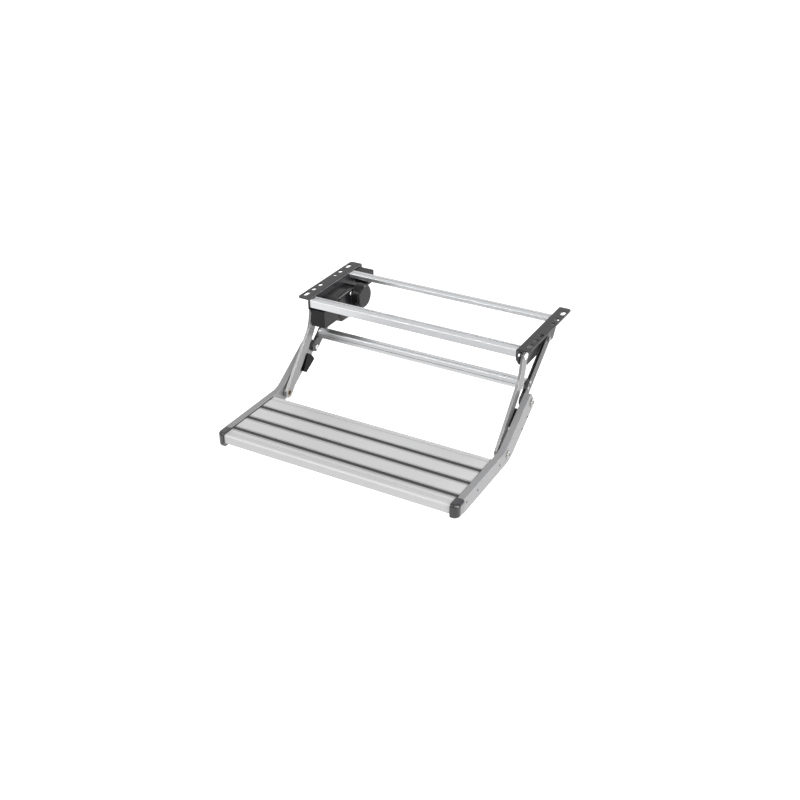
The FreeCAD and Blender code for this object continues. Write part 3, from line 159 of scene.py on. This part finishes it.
def shader_group(name, inputs, outputs):
    """A new node group with named sockets, and its input and output nodes"""
    group = bpy.data.node_groups.new(name, "ShaderNodeTree")
    for socket, kind in inputs:
        group.interface.new_socket(name=socket, in_out="INPUT", socket_type=kind)
    for socket, kind in outputs:
        group.interface.new_socket(name=socket, in_out="OUTPUT", socket_type=kind)
    return group, group.nodes.new("NodeGroupInput"), group.nodes.new("NodeGroupOutput")


def add_node(tree, kind, settings=None, **sockets):
    """A new node with its settings, and its sockets linked or given a value"""
    node = tree.nodes.new(kind)
    for key, value in (settings or {}).items():
        setattr(node, key, value)
    for key, value in sockets.items():
        socket = node.inputs[int(key[1:])] if key[1:].isdigit() else node.inputs[key.replace("_", " ")]
        if isinstance(value, bpy.types.NodeSocket):
            tree.links.new(value, socket)
        else:
            socket.default_value = value
    return node


def math_node(tree, operation, first, second, clamp=False):
    return add_node(tree, "ShaderNodeMath", {"operation": operation, "use_clamp": clamp}, _0=first,
                    _1=second).outputs[0]


def edge_wear_and_edge_light_group():
    """Mask of the narrow bands beside a part's edges, broken up as rubbing leaves them; it marks rubbed paint, and
    also painted highlights and painted shade along edges
    """
    group, given, result = shader_group(
        "edge wear and painted edge light", [("Vector", "NodeSocketVector"), ("Width", "NodeSocketFloat"), ("Breakup", "NodeSocketFloat")],
        [("Mask", "NodeSocketFloat")])
    rounded = add_node(group, "ShaderNodeBevel", {"samples": SAMPLES}, Radius=given.outputs["Width"])
    face = add_node(group, "ShaderNodeNewGeometry")
    facing = add_node(group, "ShaderNodeVectorMath", {"operation": "DOT_PRODUCT"}, _0=rounded.outputs["Normal"],
                      _1=face.outputs["Normal"])
    edge = add_node(group, "ShaderNodeMapRange", {}, Value=facing.outputs["Value"], From_Min=0.995, From_Max=0.80,
                    To_Min=0.0, To_Max=1.0)
    patches = add_node(group, "ShaderNodeTexNoise", {}, Vector=given.outputs["Vector"],
                       Scale=given.outputs["Breakup"], Detail=3.0)
    kept = add_node(group, "ShaderNodeMapRange", {}, Value=patches.outputs[0], From_Min=0.40, From_Max=0.66,
                    To_Min=0.25, To_Max=1.0)
    mask = math_node(group, "MULTIPLY", edge.outputs[0], kept.outputs[0], True)
    group.links.new(mask, result.inputs["Mask"])
    return group


def mottle_group():
    """Soft cloudiness round one, to multiply a colour or a roughness by"""
    group, given, result = shader_group(
        "mottle", [("Vector", "NodeSocketVector"), ("Scale", "NodeSocketFloat"), ("Depth", "NodeSocketFloat")],
        [("Factor", "NodeSocketFloat")])
    clouds = add_node(group, "ShaderNodeTexNoise", {}, Vector=given.outputs["Vector"], Scale=given.outputs["Scale"],
                      Detail=4.0, Roughness=0.6)
    centred = math_node(group, "SUBTRACT", clouds.outputs[0], 0.5)
    swing = math_node(group, "MULTIPLY", centred, given.outputs["Depth"])
    group.links.new(math_node(group, "ADD", swing, 1.0), result.inputs["Factor"])
    return group


def draw_line_group():
    """The fine lines that a die leaves along an extrusion, as a factor round one and as a height"""
    group, given, result = shader_group(
        "draw lines", [("Vector", "NodeSocketVector"), ("Scale", "NodeSocketFloat"), ("Depth", "NodeSocketFloat")],
        [("Factor", "NodeSocketFloat"), ("Height", "NodeSocketFloat")])
    stretched = add_node(group, "ShaderNodeVectorMath", {"operation": "MULTIPLY"}, _0=given.outputs["Vector"],
                         _1=(0.002, 1.0, 1.0))
    lines = add_node(group, "ShaderNodeTexNoise", {}, Vector=stretched.outputs[0], Scale=given.outputs["Scale"],
                     Detail=3.0, Roughness=0.7)
    centred = math_node(group, "SUBTRACT", lines.outputs[0], 0.5)
    swing = math_node(group, "MULTIPLY", centred, given.outputs["Depth"])
    group.links.new(math_node(group, "ADD", swing, 1.0), result.inputs["Factor"])
    group.links.new(lines.outputs[0], result.inputs["Height"])
    return group


def grain_group():
    """The fine pebbling of a powder coat, a moulding or cast metal, as a height"""
    group, given, result = shader_group(
        "grain", [("Vector", "NodeSocketVector"), ("Scale", "NodeSocketFloat")], [("Height", "NodeSocketFloat")])
    pebbles = add_node(group, "ShaderNodeTexVoronoi", {"feature": "SMOOTH_F1"}, Vector=given.outputs["Vector"],
                       Scale=given.outputs["Scale"])
    clouds = add_node(group, "ShaderNodeTexNoise", {}, Vector=given.outputs["Vector"], Scale=given.outputs["Scale"],
                      Detail=3.0)
    group.links.new(math_node(group, "ADD", pebbles.outputs[0], clouds.outputs[0]), result.inputs["Height"])
    return group


def corner_shade_group():
    """Mask of painted shade in corners and grooves, where little light reaches, broken up by specks"""
    group, given, result = shader_group(
        "painted corner shade", [("Vector", "NodeSocketVector"), ("Reach", "NodeSocketFloat"), ("Amount", "NodeSocketFloat")],
        [("Mask", "NodeSocketFloat")])
    hollow = add_node(group, "ShaderNodeAmbientOcclusion", {"samples": SAMPLES}, Distance=given.outputs["Reach"])
    shut = add_node(group, "ShaderNodeMapRange", {}, Value=hollow.outputs["AO"], From_Min=0.92, From_Max=0.55,
                    To_Min=0.0, To_Max=1.0)
    specks = add_node(group, "ShaderNodeTexNoise", {}, Vector=given.outputs["Vector"], Scale=260.0, Detail=4.0)
    uneven = math_node(group, "ADD", specks.outputs[0], 0.4, True)
    broken = math_node(group, "MULTIPLY", shut.outputs[0], uneven)
    group.links.new(math_node(group, "MULTIPLY", broken, given.outputs["Amount"], True), result.inputs["Mask"])
    return group


GROUP_MAKERS = {"edge wear and painted edge light": edge_wear_and_edge_light_group, "mottle": mottle_group, "draw lines": draw_line_group,
                "grain": grain_group, "painted corner shade": corner_shade_group}


def effect(tree, name, **sockets):
    """A shared effect placed in a material"""
    group = bpy.data.node_groups.get(name) or GROUP_MAKERS[name]()
    return add_node(tree, "ShaderNodeGroup", {"node_tree": group}, **sockets)


def mix_colours(tree, factor, first, second, blend="MIX"):
    """The first colour where the factor is nought, the second, or their blend, where it is one"""
    node = tree.nodes.new("ShaderNodeMix")
    node.data_type = "RGBA"
    node.blend_type = blend
    for index, value in ((0, factor), (6, first), (7, second)):
        if isinstance(value, bpy.types.NodeSocket):
            tree.links.new(value, node.inputs[index])
        elif index:
            node.inputs[index].default_value = (*value[:3], 1.0)
        else:
            node.inputs[index].default_value = value
    return node.outputs[2]


def mix_numbers(tree, factor, first, second):
    """The first number where the factor is nought, the second where it is one"""
    node = add_node(tree, "ShaderNodeMix", {"data_type": "FLOAT"}, _0=factor, _2=first, _3=second)
    return node.outputs[0]


def background_rays(tree):
    """One for the rays that show the white background: seen, mirrored or through glass"""
    path = tree.nodes.new("ShaderNodeLightPath")
    seen = math_node(tree, "ADD", path.outputs["Is Camera Ray"], path.outputs["Is Glossy Ray"])
    return math_node(tree, "ADD", seen, path.outputs["Is Transmission Ray"], True)


class Finish:
    """A material in the making: its shader, its colour so far and the heights of its relief"""

    def __init__(self, name, base, metallic, roughness, specular=0.5):
        self.material = bpy.data.materials.new(name)
        self.material.use_nodes = True
        self.material.diffuse_color = (*base, 1.0)
        self.tree = self.material.node_tree
        self.shader = self.tree.nodes["Principled BSDF"]
        self.shader.inputs["Metallic"].default_value = metallic
        self.shader.inputs["Specular IOR Level"].default_value = specular
        self.place = add_node(self.tree, "ShaderNodeTexCoord").outputs["Object"]
        self.base = base
        self.colour = None
        self.roughness = roughness
        self.rough_factor = None
        self.normal = None

    def tint(self, factor):
        """Multiply the colour by a factor round one"""
        grey = add_node(self.tree, "ShaderNodeCombineColor", {}, _0=factor, _1=factor, _2=factor).outputs[0]
        self.colour = mix_colours(self.tree, 1.0, self.colour or self.base, grey, "MULTIPLY")

    def cloud(self, size, depth):
        """Soft cloudiness in the colour, and as much again in the gloss"""
        factor = effect(self.tree, "mottle", Vector=self.place, Scale=1.0 / size, Depth=depth).outputs["Factor"]
        self.tint(factor)
        self.rough_factor = effect(self.tree, "mottle", Vector=self.place, Scale=3.0 / size,
                                   Depth=1.5 * depth).outputs["Factor"]

    def cover(self, mask, over):
        """Show another colour where a mask is one"""
        self.colour = mix_colours(self.tree, mask, self.colour or self.base, over)

    def round_off(self, radius):
        """Shade small edges as if they were round"""
        self.normal = add_node(self.tree, "ShaderNodeBevel", {"samples": SAMPLES}, Radius=radius).outputs["Normal"]

    def relief(self, height, strength, distance):
        bump = add_node(self.tree, "ShaderNodeBump", {}, Strength=strength, Distance=distance, Height=height)
        if self.normal:
            self.tree.links.new(self.normal, bump.inputs["Normal"])
        self.normal = bump.outputs["Normal"]

    def close(self, coat=0.0):
        """Join everything to the shader and give the material"""
        self.tree.links.new(self.colour, self.shader.inputs["Base Color"])
        self.shader.inputs["Roughness"].default_value = self.roughness
        if self.rough_factor:
            gloss = math_node(self.tree, "MULTIPLY", self.rough_factor, self.roughness, True)
            self.tree.links.new(gloss, self.shader.inputs["Roughness"])
        if self.normal:
            self.tree.links.new(self.normal, self.shader.inputs["Normal"])
        if coat:
            self.shader.inputs["Coat Weight"].default_value = coat
            self.shader.inputs["Coat Roughness"].default_value = COAT_ROUGHNESS
        return self.material


def painted(name, base, sizes, colours, roughness, grain, specular):
    """A coat of paint on metal: orange peel, cloudiness, painted shade in the corners and rubbed edges"""
    finish = Finish(name, base, 0.0, roughness, specular)
    finish.cloud(sizes.mottle_size, 0.16)
    # Painted shade in the corners, from the occlusion mask.
    corner_shade = effect(finish.tree, "painted corner shade", Vector=finish.place, Reach=0.006, Amount=0.10).outputs["Mask"]
    finish.cover(corner_shade, colours.painted_corner_shade)
    worn = effect(finish.tree, "edge wear and painted edge light", Vector=finish.place, Width=sizes.wear_and_edge_shade_width, Breakup=140.0)
    finish.cover(worn.outputs["Mask"], colours.bare_metal_and_edge_shade)
    finish.round_off(sizes.edge_radius)
    pebbles = effect(finish.tree, "grain", Vector=finish.place, Scale=1.0 / sizes.powder_grain).outputs["Height"]
    finish.relief(pebbles, grain, RELIEF)
    return finish.close()


def silvered(name, base, sizes, colours, metallic, roughness, cloud_size, cloud_depth, corner_shade_reach, corner_shade_amount,
             edge_radius, grain):
    """A silver coating: cloudiness, painted shade round what is fixed to it, painted highlights along the edges and a
    fine grain
    """
    finish = Finish(name, base, metallic, roughness)
    finish.cloud(cloud_size, cloud_depth)
    # Painted shade round bolt heads and other fixed parts.
    corner_shade = effect(finish.tree, "painted corner shade", Vector=finish.place, Reach=corner_shade_reach, Amount=corner_shade_amount)
    finish.cover(corner_shade.outputs["Mask"], colours.painted_corner_shade)
    # Painted highlight: a light band along every edge.
    rubbed = effect(finish.tree, "edge wear and painted edge light", Vector=finish.place, Width=sizes.edge_highlight_width, Breakup=60.0)
    finish.cover(rubbed.outputs["Mask"], colours.painted_edge_highlight)
    finish.round_off(edge_radius)
    pebbles = effect(finish.tree, "grain", Vector=finish.place, Scale=1.0 / sizes.powder_grain).outputs["Height"]
    finish.relief(pebbles, grain, RELIEF)
    return finish.close()


def drawn(name, base, sizes, metallic, roughness, depth, relief):
    """An anodised extrusion: draw lines along X and a soft cloudiness"""
    finish = Finish(name, base, metallic, roughness)
    finish.cloud(2.0 * sizes.mottle_size, 0.05)
    lines = effect(finish.tree, "draw lines", Vector=finish.place, Scale=1.0 / sizes.line_pitch, Depth=depth)
    finish.tint(lines.outputs["Factor"])
    finish.round_off(0.6 * sizes.edge_radius)
    finish.relief(lines.outputs["Height"], relief, RELIEF)
    return finish


def moulded(name, base, sizes, colours, roughness, grain_size, grain, specular, coat=0.0):
    """Plastic, rubber or black oxide: fine grain, cloudiness and painted shade in the corners"""
    finish = Finish(name, base, 0.0, roughness, specular)
    finish.cloud(sizes.mottle_size, 0.14)
    # Painted shade in the corners.
    corner_shade = effect(finish.tree, "painted corner shade", Vector=finish.place, Reach=0.005, Amount=0.08).outputs["Mask"]
    finish.cover(corner_shade, colours.painted_corner_shade)
    finish.round_off(1.2 * sizes.edge_radius)
    pebbles = effect(finish.tree, "grain", Vector=finish.place, Scale=1.0 / grain_size).outputs["Height"]
    finish.relief(pebbles, grain, RELIEF)
    return finish.close(coat)


def plated(name, base, sizes, colours, roughness):
    """Plated or sintered metal: fine mottling, painted shade in the corners and bright edges"""
    finish = Finish(name, base, 0.85, roughness)
    finish.cloud(0.1 * sizes.mottle_size, 0.22)
    # Painted shade in the corners and round the heads.
    corner_shade = effect(finish.tree, "painted corner shade", Vector=finish.place, Reach=0.003, Amount=0.60).outputs["Mask"]
    finish.cover(corner_shade, colours.painted_corner_shade)
    finish.round_off(0.5 * sizes.edge_radius)
    grain = effect(finish.tree, "grain", Vector=finish.place, Scale=1.2 / sizes.powder_grain).outputs["Height"]
    finish.relief(grain, 0.08, PLATING_RELIEF)
    return finish.close()


def dress(names, material):
    for name in names:
        NODES[name].data.materials.clear()
        NODES[name].data.materials.append(material)


def names_with(*words):
    found = [name for name in NODES if any(word in name for word in words)]
    if not found:
        raise RuntimeError(f"no node is named after {words}")
    return found


def soft_box(name, place, size, power, height=None):
    """An area light aimed at the middle of the step, square unless it has a height of its own"""
    data = bpy.data.lights.new(name, "AREA")
    data.energy = power
    data.shape = "RECTANGLE"
    data.size = size
    data.size_y = height or size
    light = bpy.data.objects.new(name, data)
    spot = Vector(place)
    middle = (Vector(cad_box[0]) + Vector(cad_box[1])) / 2.0
    light.matrix_world = Matrix.Translation(spot) @ (spot - middle).to_track_quat("Z", "Y").to_matrix().to_4x4()
    bpy.context.scene.collection.objects.link(light)


class STEP_OT_brackets(bpy.types.Operator):
    """Give the two brackets their black powder coat"""

    bl_idname = "entry_step.brackets"
    bl_label = "Brackets"

    def execute(self, context):
        colours, sizes = context.scene.step_colours, context.scene.finish_sizes
        dress(names_with("_bracket"),
              painted("bracket powder coat", colours.bracket, sizes, colours, roughness=0.34, grain=0.25,
                      specular=0.22))
        return {"FINISHED"}


class STEP_OT_rear_arms(bpy.types.Operator):
    """Give the driven rear arms their black powder coat"""

    bl_idname = "entry_step.rear_arms"
    bl_label = "Rear arms"

    def execute(self, context):
        colours, sizes = context.scene.step_colours, context.scene.finish_sizes
        dress(names_with("_rear_arm"),
              painted("rear arm powder coat", colours.arm, sizes, colours, roughness=0.34, grain=0.25,
                      specular=0.4))
        return {"FINISHED"}


class STEP_OT_drive(bpy.types.Operator):
    """Paint the gear housing and the motor, and finish their mouldings"""

    bl_idname = "entry_step.drive"
    bl_label = "Geared motor"

    def execute(self, context):
        colours, sizes = context.scene.step_colours, context.scene.finish_sizes
        dress(names_with("gear_housing", "motor_"),
              painted("gear housing paint", colours.housing, sizes, colours, roughness=0.24, grain=0.20,
                      specular=0.18))
        dress(["front_cover", "connector_box", "connector_lid"],
              moulded("black moulding", colours.moulding, sizes, colours, roughness=0.38, grain_size=0.0009,
                      grain=0.3, specular=0.18))
        return {"FINISHED"}


class STEP_OT_tubes(bpy.types.Operator):
    """Give the three cross tubes their bright anodised surface, with painted shade in their grooves and along their
    edges
    """

    bl_idname = "entry_step.tubes"
    bl_label = "Cross tubes"

    def execute(self, context):
        colours, sizes = context.scene.step_colours, context.scene.finish_sizes
        finish = drawn("tube anodising", colours.tube, sizes, metallic=0.85, roughness=0.30, depth=0.05, relief=0.01)
        # Painted shade in the grooves and corners.
        corner_shade = effect(finish.tree, "painted corner shade", Vector=finish.place, Reach=0.0015, Amount=0.80).outputs["Mask"]
        finish.cover(corner_shade, colours.painted_corner_shade)
        # Painted shade: dark lines along the edges, nearly unbroken.
        rubbed = effect(finish.tree, "edge wear and painted edge light", Vector=finish.place, Width=1.4 * sizes.wear_and_edge_shade_width, Breakup=0.3)
        finish.cover(rubbed.outputs["Mask"], colours.bare_metal_and_edge_shade)
        dress(names_with("_cross_tube"), finish.close())
        return {"FINISHED"}


class STEP_OT_tread(bpy.types.Operator):
    """Give the tread its matt anodised surface, with painted shade darkening its serrations"""

    bl_idname = "entry_step.tread"
    bl_label = "Tread"

    def execute(self, context):
        colours, sizes = context.scene.step_colours, context.scene.finish_sizes
        finish = drawn("tread anodising", colours.tread, sizes, metallic=0.25, roughness=0.42, depth=0.07,
                       relief=0.12)
        # Painted shade in the serrations and grooves.
        corner_shade = effect(finish.tree, "painted corner shade", Vector=finish.place, Reach=0.003, Amount=0.42).outputs["Mask"]
        finish.cover(corner_shade, colours.painted_corner_shade)
        dress(["tread"], finish.close())
        return {"FINISHED"}


class STEP_OT_side_plates(bpy.types.Operator):
    """Give the tray's side plates their silver coating"""

    bl_idname = "entry_step.side_plates"
    bl_label = "Side plates"

    def execute(self, context):
        colours, sizes = context.scene.step_colours, context.scene.finish_sizes
        dress(names_with("_side_plate"),
              silvered("side plate coating", colours.side_plate, sizes, colours, metallic=0.15, roughness=0.42,
                       cloud_size=0.5 * sizes.mottle_size, cloud_depth=0.10, corner_shade_reach=0.004, corner_shade_amount=1.0,
                       edge_radius=2.0 * sizes.edge_radius, grain=0.18))
        return {"FINISHED"}


class STEP_OT_front_arms(bpy.types.Operator):
    """Give the front arms their silver coating"""

    bl_idname = "entry_step.front_arms"
    bl_label = "Front arms"

    def execute(self, context):
        colours, sizes = context.scene.step_colours, context.scene.finish_sizes
        dress(names_with("_front_arm"),
              silvered("front arm coating", colours.front_arm, sizes, colours, metallic=0.55, roughness=0.34,
                       cloud_size=0.6 * sizes.mottle_size, cloud_depth=0.12, corner_shade_reach=0.006, corner_shade_amount=0.60,
                       edge_radius=1.5 * sizes.edge_radius, grain=0.15))
        return {"FINISHED"}


class STEP_OT_rubber(bpy.types.Operator):
    """Make the grip strips, the gaskets and the stop blocks black rubber"""

    bl_idname = "entry_step.rubber"
    bl_label = "Rubber"

    def execute(self, context):
        colours, sizes = context.scene.step_colours, context.scene.finish_sizes
        dress(names_with("_gasket", "_stop_block"),
              moulded("black rubber", colours.rubber, sizes, colours, roughness=0.50, grain_size=0.0006,
                      grain=0.4, specular=0.08))
        dress(names_with("_grip_strip"),
              moulded("grip strip rubber", colours.grip, sizes, colours, roughness=0.60, grain_size=0.0006,
                      grain=0.6, specular=0.3))
        return {"FINISHED"}


class STEP_OT_end_caps(bpy.types.Operator):
    """Make the tread's two end caps glossy black"""

    bl_idname = "entry_step.end_caps"
    bl_label = "End caps"

    def execute(self, context):
        colours, sizes = context.scene.step_colours, context.scene.finish_sizes
        dress(names_with("left_end_cap", "right_end_cap"),
              moulded("end cap gloss", colours.cap, sizes, colours, roughness=0.16, grain_size=0.0014,
                      grain=0.04, specular=0.22, coat=0.9))
        return {"FINISHED"}


class STEP_OT_fasteners(bpy.types.Operator):
    """Finish the bolts, nuts, washers, screws, bushes and the output shaft"""

    bl_idname = "entry_step.fasteners"
    bl_label = "Fasteners and bearings"

    def execute(self, context):
        colours, sizes = context.scene.step_colours, context.scene.finish_sizes
        zinc = plated("zinc plating", colours.zinc, sizes, colours, roughness=0.32)
        dress(names_with("_tube_screws", "_link_", "_pivot_", "drive_shaft"), zinc)
        # Painted highlight: these parts get the lighter glint copy of the zinc.
        dress(["gear_screws", "rear_link_nuts", "front_tube_screws", "front_pivot_pins"],
              plated("bright zinc plating", colours.painted_glint_zinc, sizes, colours, roughness=0.22))
        oxide = moulded("black oxide", colours.black_oxide, sizes, colours, roughness=0.50, grain_size=0.0006,
                        grain=0.1, specular=0.10)
        dress(["side_rivets", "end_cap_screws", "front_cover_screws", "gear_mount_screws"], oxide)
        dress(names_with("_bush", "drive_bearing"),
              plated("sintered bronze", colours.bronze, sizes, colours, roughness=0.48))
        return {"FINISHED"}


class STEP_OT_studio(bpy.types.Operator):
    """Set the floor, the lights and the camera"""

    bl_idname = "entry_step.studio"
    bl_label = "Studio"

    def execute(self, context):
        studio = context.scene.studio_sizes
        scene = context.scene
        bpy.ops.object.select_all(action="DESELECT")
        bpy.ops.mesh.primitive_plane_add(size=studio.floor_size, location=(0, 0, cad_box[0][2] - studio.floor_drop))
        floor = context.object
        floor.name = "floor"
        white = bpy.data.materials.new("white floor")
        white.use_nodes = True
        shader = white.node_tree.nodes["Principled BSDF"]
        shown = background_rays(white.node_tree)
        paleness = mix_colours(white.node_tree, shown, (studio.floor_bounce,) * 3, (studio.floor_white,) * 3)
        white.node_tree.links.new(paleness, shader.inputs["Base Color"])
        glow = math_node(white.node_tree, "MULTIPLY", shown, studio.floor_glow)
        white.node_tree.links.new(glow, shader.inputs["Emission Strength"])
        shader.inputs["Emission Color"].default_value = WHITE
        shader.inputs["Roughness"].default_value = 0.9
        shader.inputs["Specular IOR Level"].default_value = 0.0
        floor.data.materials.append(white)

        world = bpy.data.worlds.new("studio")
        scene.world = world
        world.use_nodes = True
        tree = world.node_tree
        sky = tree.nodes["Background"]
        sky.inputs["Color"].default_value = WHITE
        strength = mix_numbers(tree, background_rays(tree), studio.sky, WHITE_STRENGTH)
        tree.links.new(strength, sky.inputs["Strength"])

        sun_data = bpy.data.lights.new("sun", "SUN")
        sun_data.energy = studio.sun_strength
        sun_data.angle = studio.sun_spread
        sun = bpy.data.objects.new("sun", sun_data)
        sun.matrix_world = (Matrix.Rotation(studio.sun_turn, 4, "Z")
                            @ Matrix.Rotation(QUARTER_TURN - studio.sun_height, 4, "X"))
        scene.collection.objects.link(sun)
        soft_box("key", studio.key_place, studio.key_size, studio.key_power)
        soft_box("rim", studio.rim_place, studio.rim_size, studio.rim_power)
        soft_box("strip", studio.strip_place, studio.strip_size, studio.strip_power, studio.strip_height)

        camera = bpy.data.cameras.new("camera")
        camera.lens = studio.focal_length
        holder = bpy.data.objects.new("camera", camera)
        scene.collection.objects.link(holder)
        turn = Matrix.Rotation(studio.camera_turn, 4, "Z")
        tilt = Matrix.Rotation(QUARTER_TURN - studio.camera_tilt, 4, "X")
        holder.matrix_world = Matrix.Translation(Vector(studio.camera_place)) @ turn @ tilt
        scene.camera = holder
        scene.view_settings.view_transform = "Standard"
        return {"FINISHED"}


PIECE_OPERATORS = [STEP_OT_brackets, STEP_OT_rear_arms, STEP_OT_drive, STEP_OT_tubes, STEP_OT_tread,
                   STEP_OT_side_plates, STEP_OT_front_arms, STEP_OT_rubber, STEP_OT_end_caps, STEP_OT_fasteners,
                   STEP_OT_studio]


class STEP_PT_entry_step(bpy.types.Panel):
    """The step's pieces and its studio"""

    bl_label = "Entry Step"
    bl_idname = "STEP_PT_entry_step"
    bl_space_type = "VIEW_3D"
    bl_region_type = "UI"
    bl_category = "Entry Step"

    def draw(self, context):
        for operator in PIECE_OPERATORS:
            self.layout.operator(operator.bl_idname, text=operator.bl_label)
        for group in (context.scene.step_colours, context.scene.finish_sizes, context.scene.studio_sizes):
            box = self.layout.box()
            for name in group.__annotations__:
                box.prop(group, name)


CLASSES = [StepColours, FinishSizes, StudioSizes, *PIECE_OPERATORS, STEP_PT_entry_step]


def register():
    for item in CLASSES:
        bpy.utils.register_class(item)
    bpy.types.Scene.step_colours = bpy.props.PointerProperty(type=StepColours)
    bpy.types.Scene.finish_sizes = bpy.props.PointerProperty(type=FinishSizes)
    bpy.types.Scene.studio_sizes = bpy.props.PointerProperty(type=StudioSizes)


def unregister():
    del bpy.types.Scene.studio_sizes
    del bpy.types.Scene.finish_sizes
    del bpy.types.Scene.step_colours
    for item in reversed(CLASSES):
        bpy.utils.unregister_class(item)


def main():
    register()
    bpy.ops.entry_step.brackets()
    bpy.ops.entry_step.rear_arms()
    bpy.ops.entry_step.drive()
    bpy.ops.entry_step.tubes()
    bpy.ops.entry_step.tread()
    bpy.ops.entry_step.side_plates()
    bpy.ops.entry_step.front_arms()
    bpy.ops.entry_step.rubber()
    bpy.ops.entry_step.end_caps()
    bpy.ops.entry_step.fasteners()
    bpy.ops.entry_step.studio()


if __name__ == "__main__":
    main()
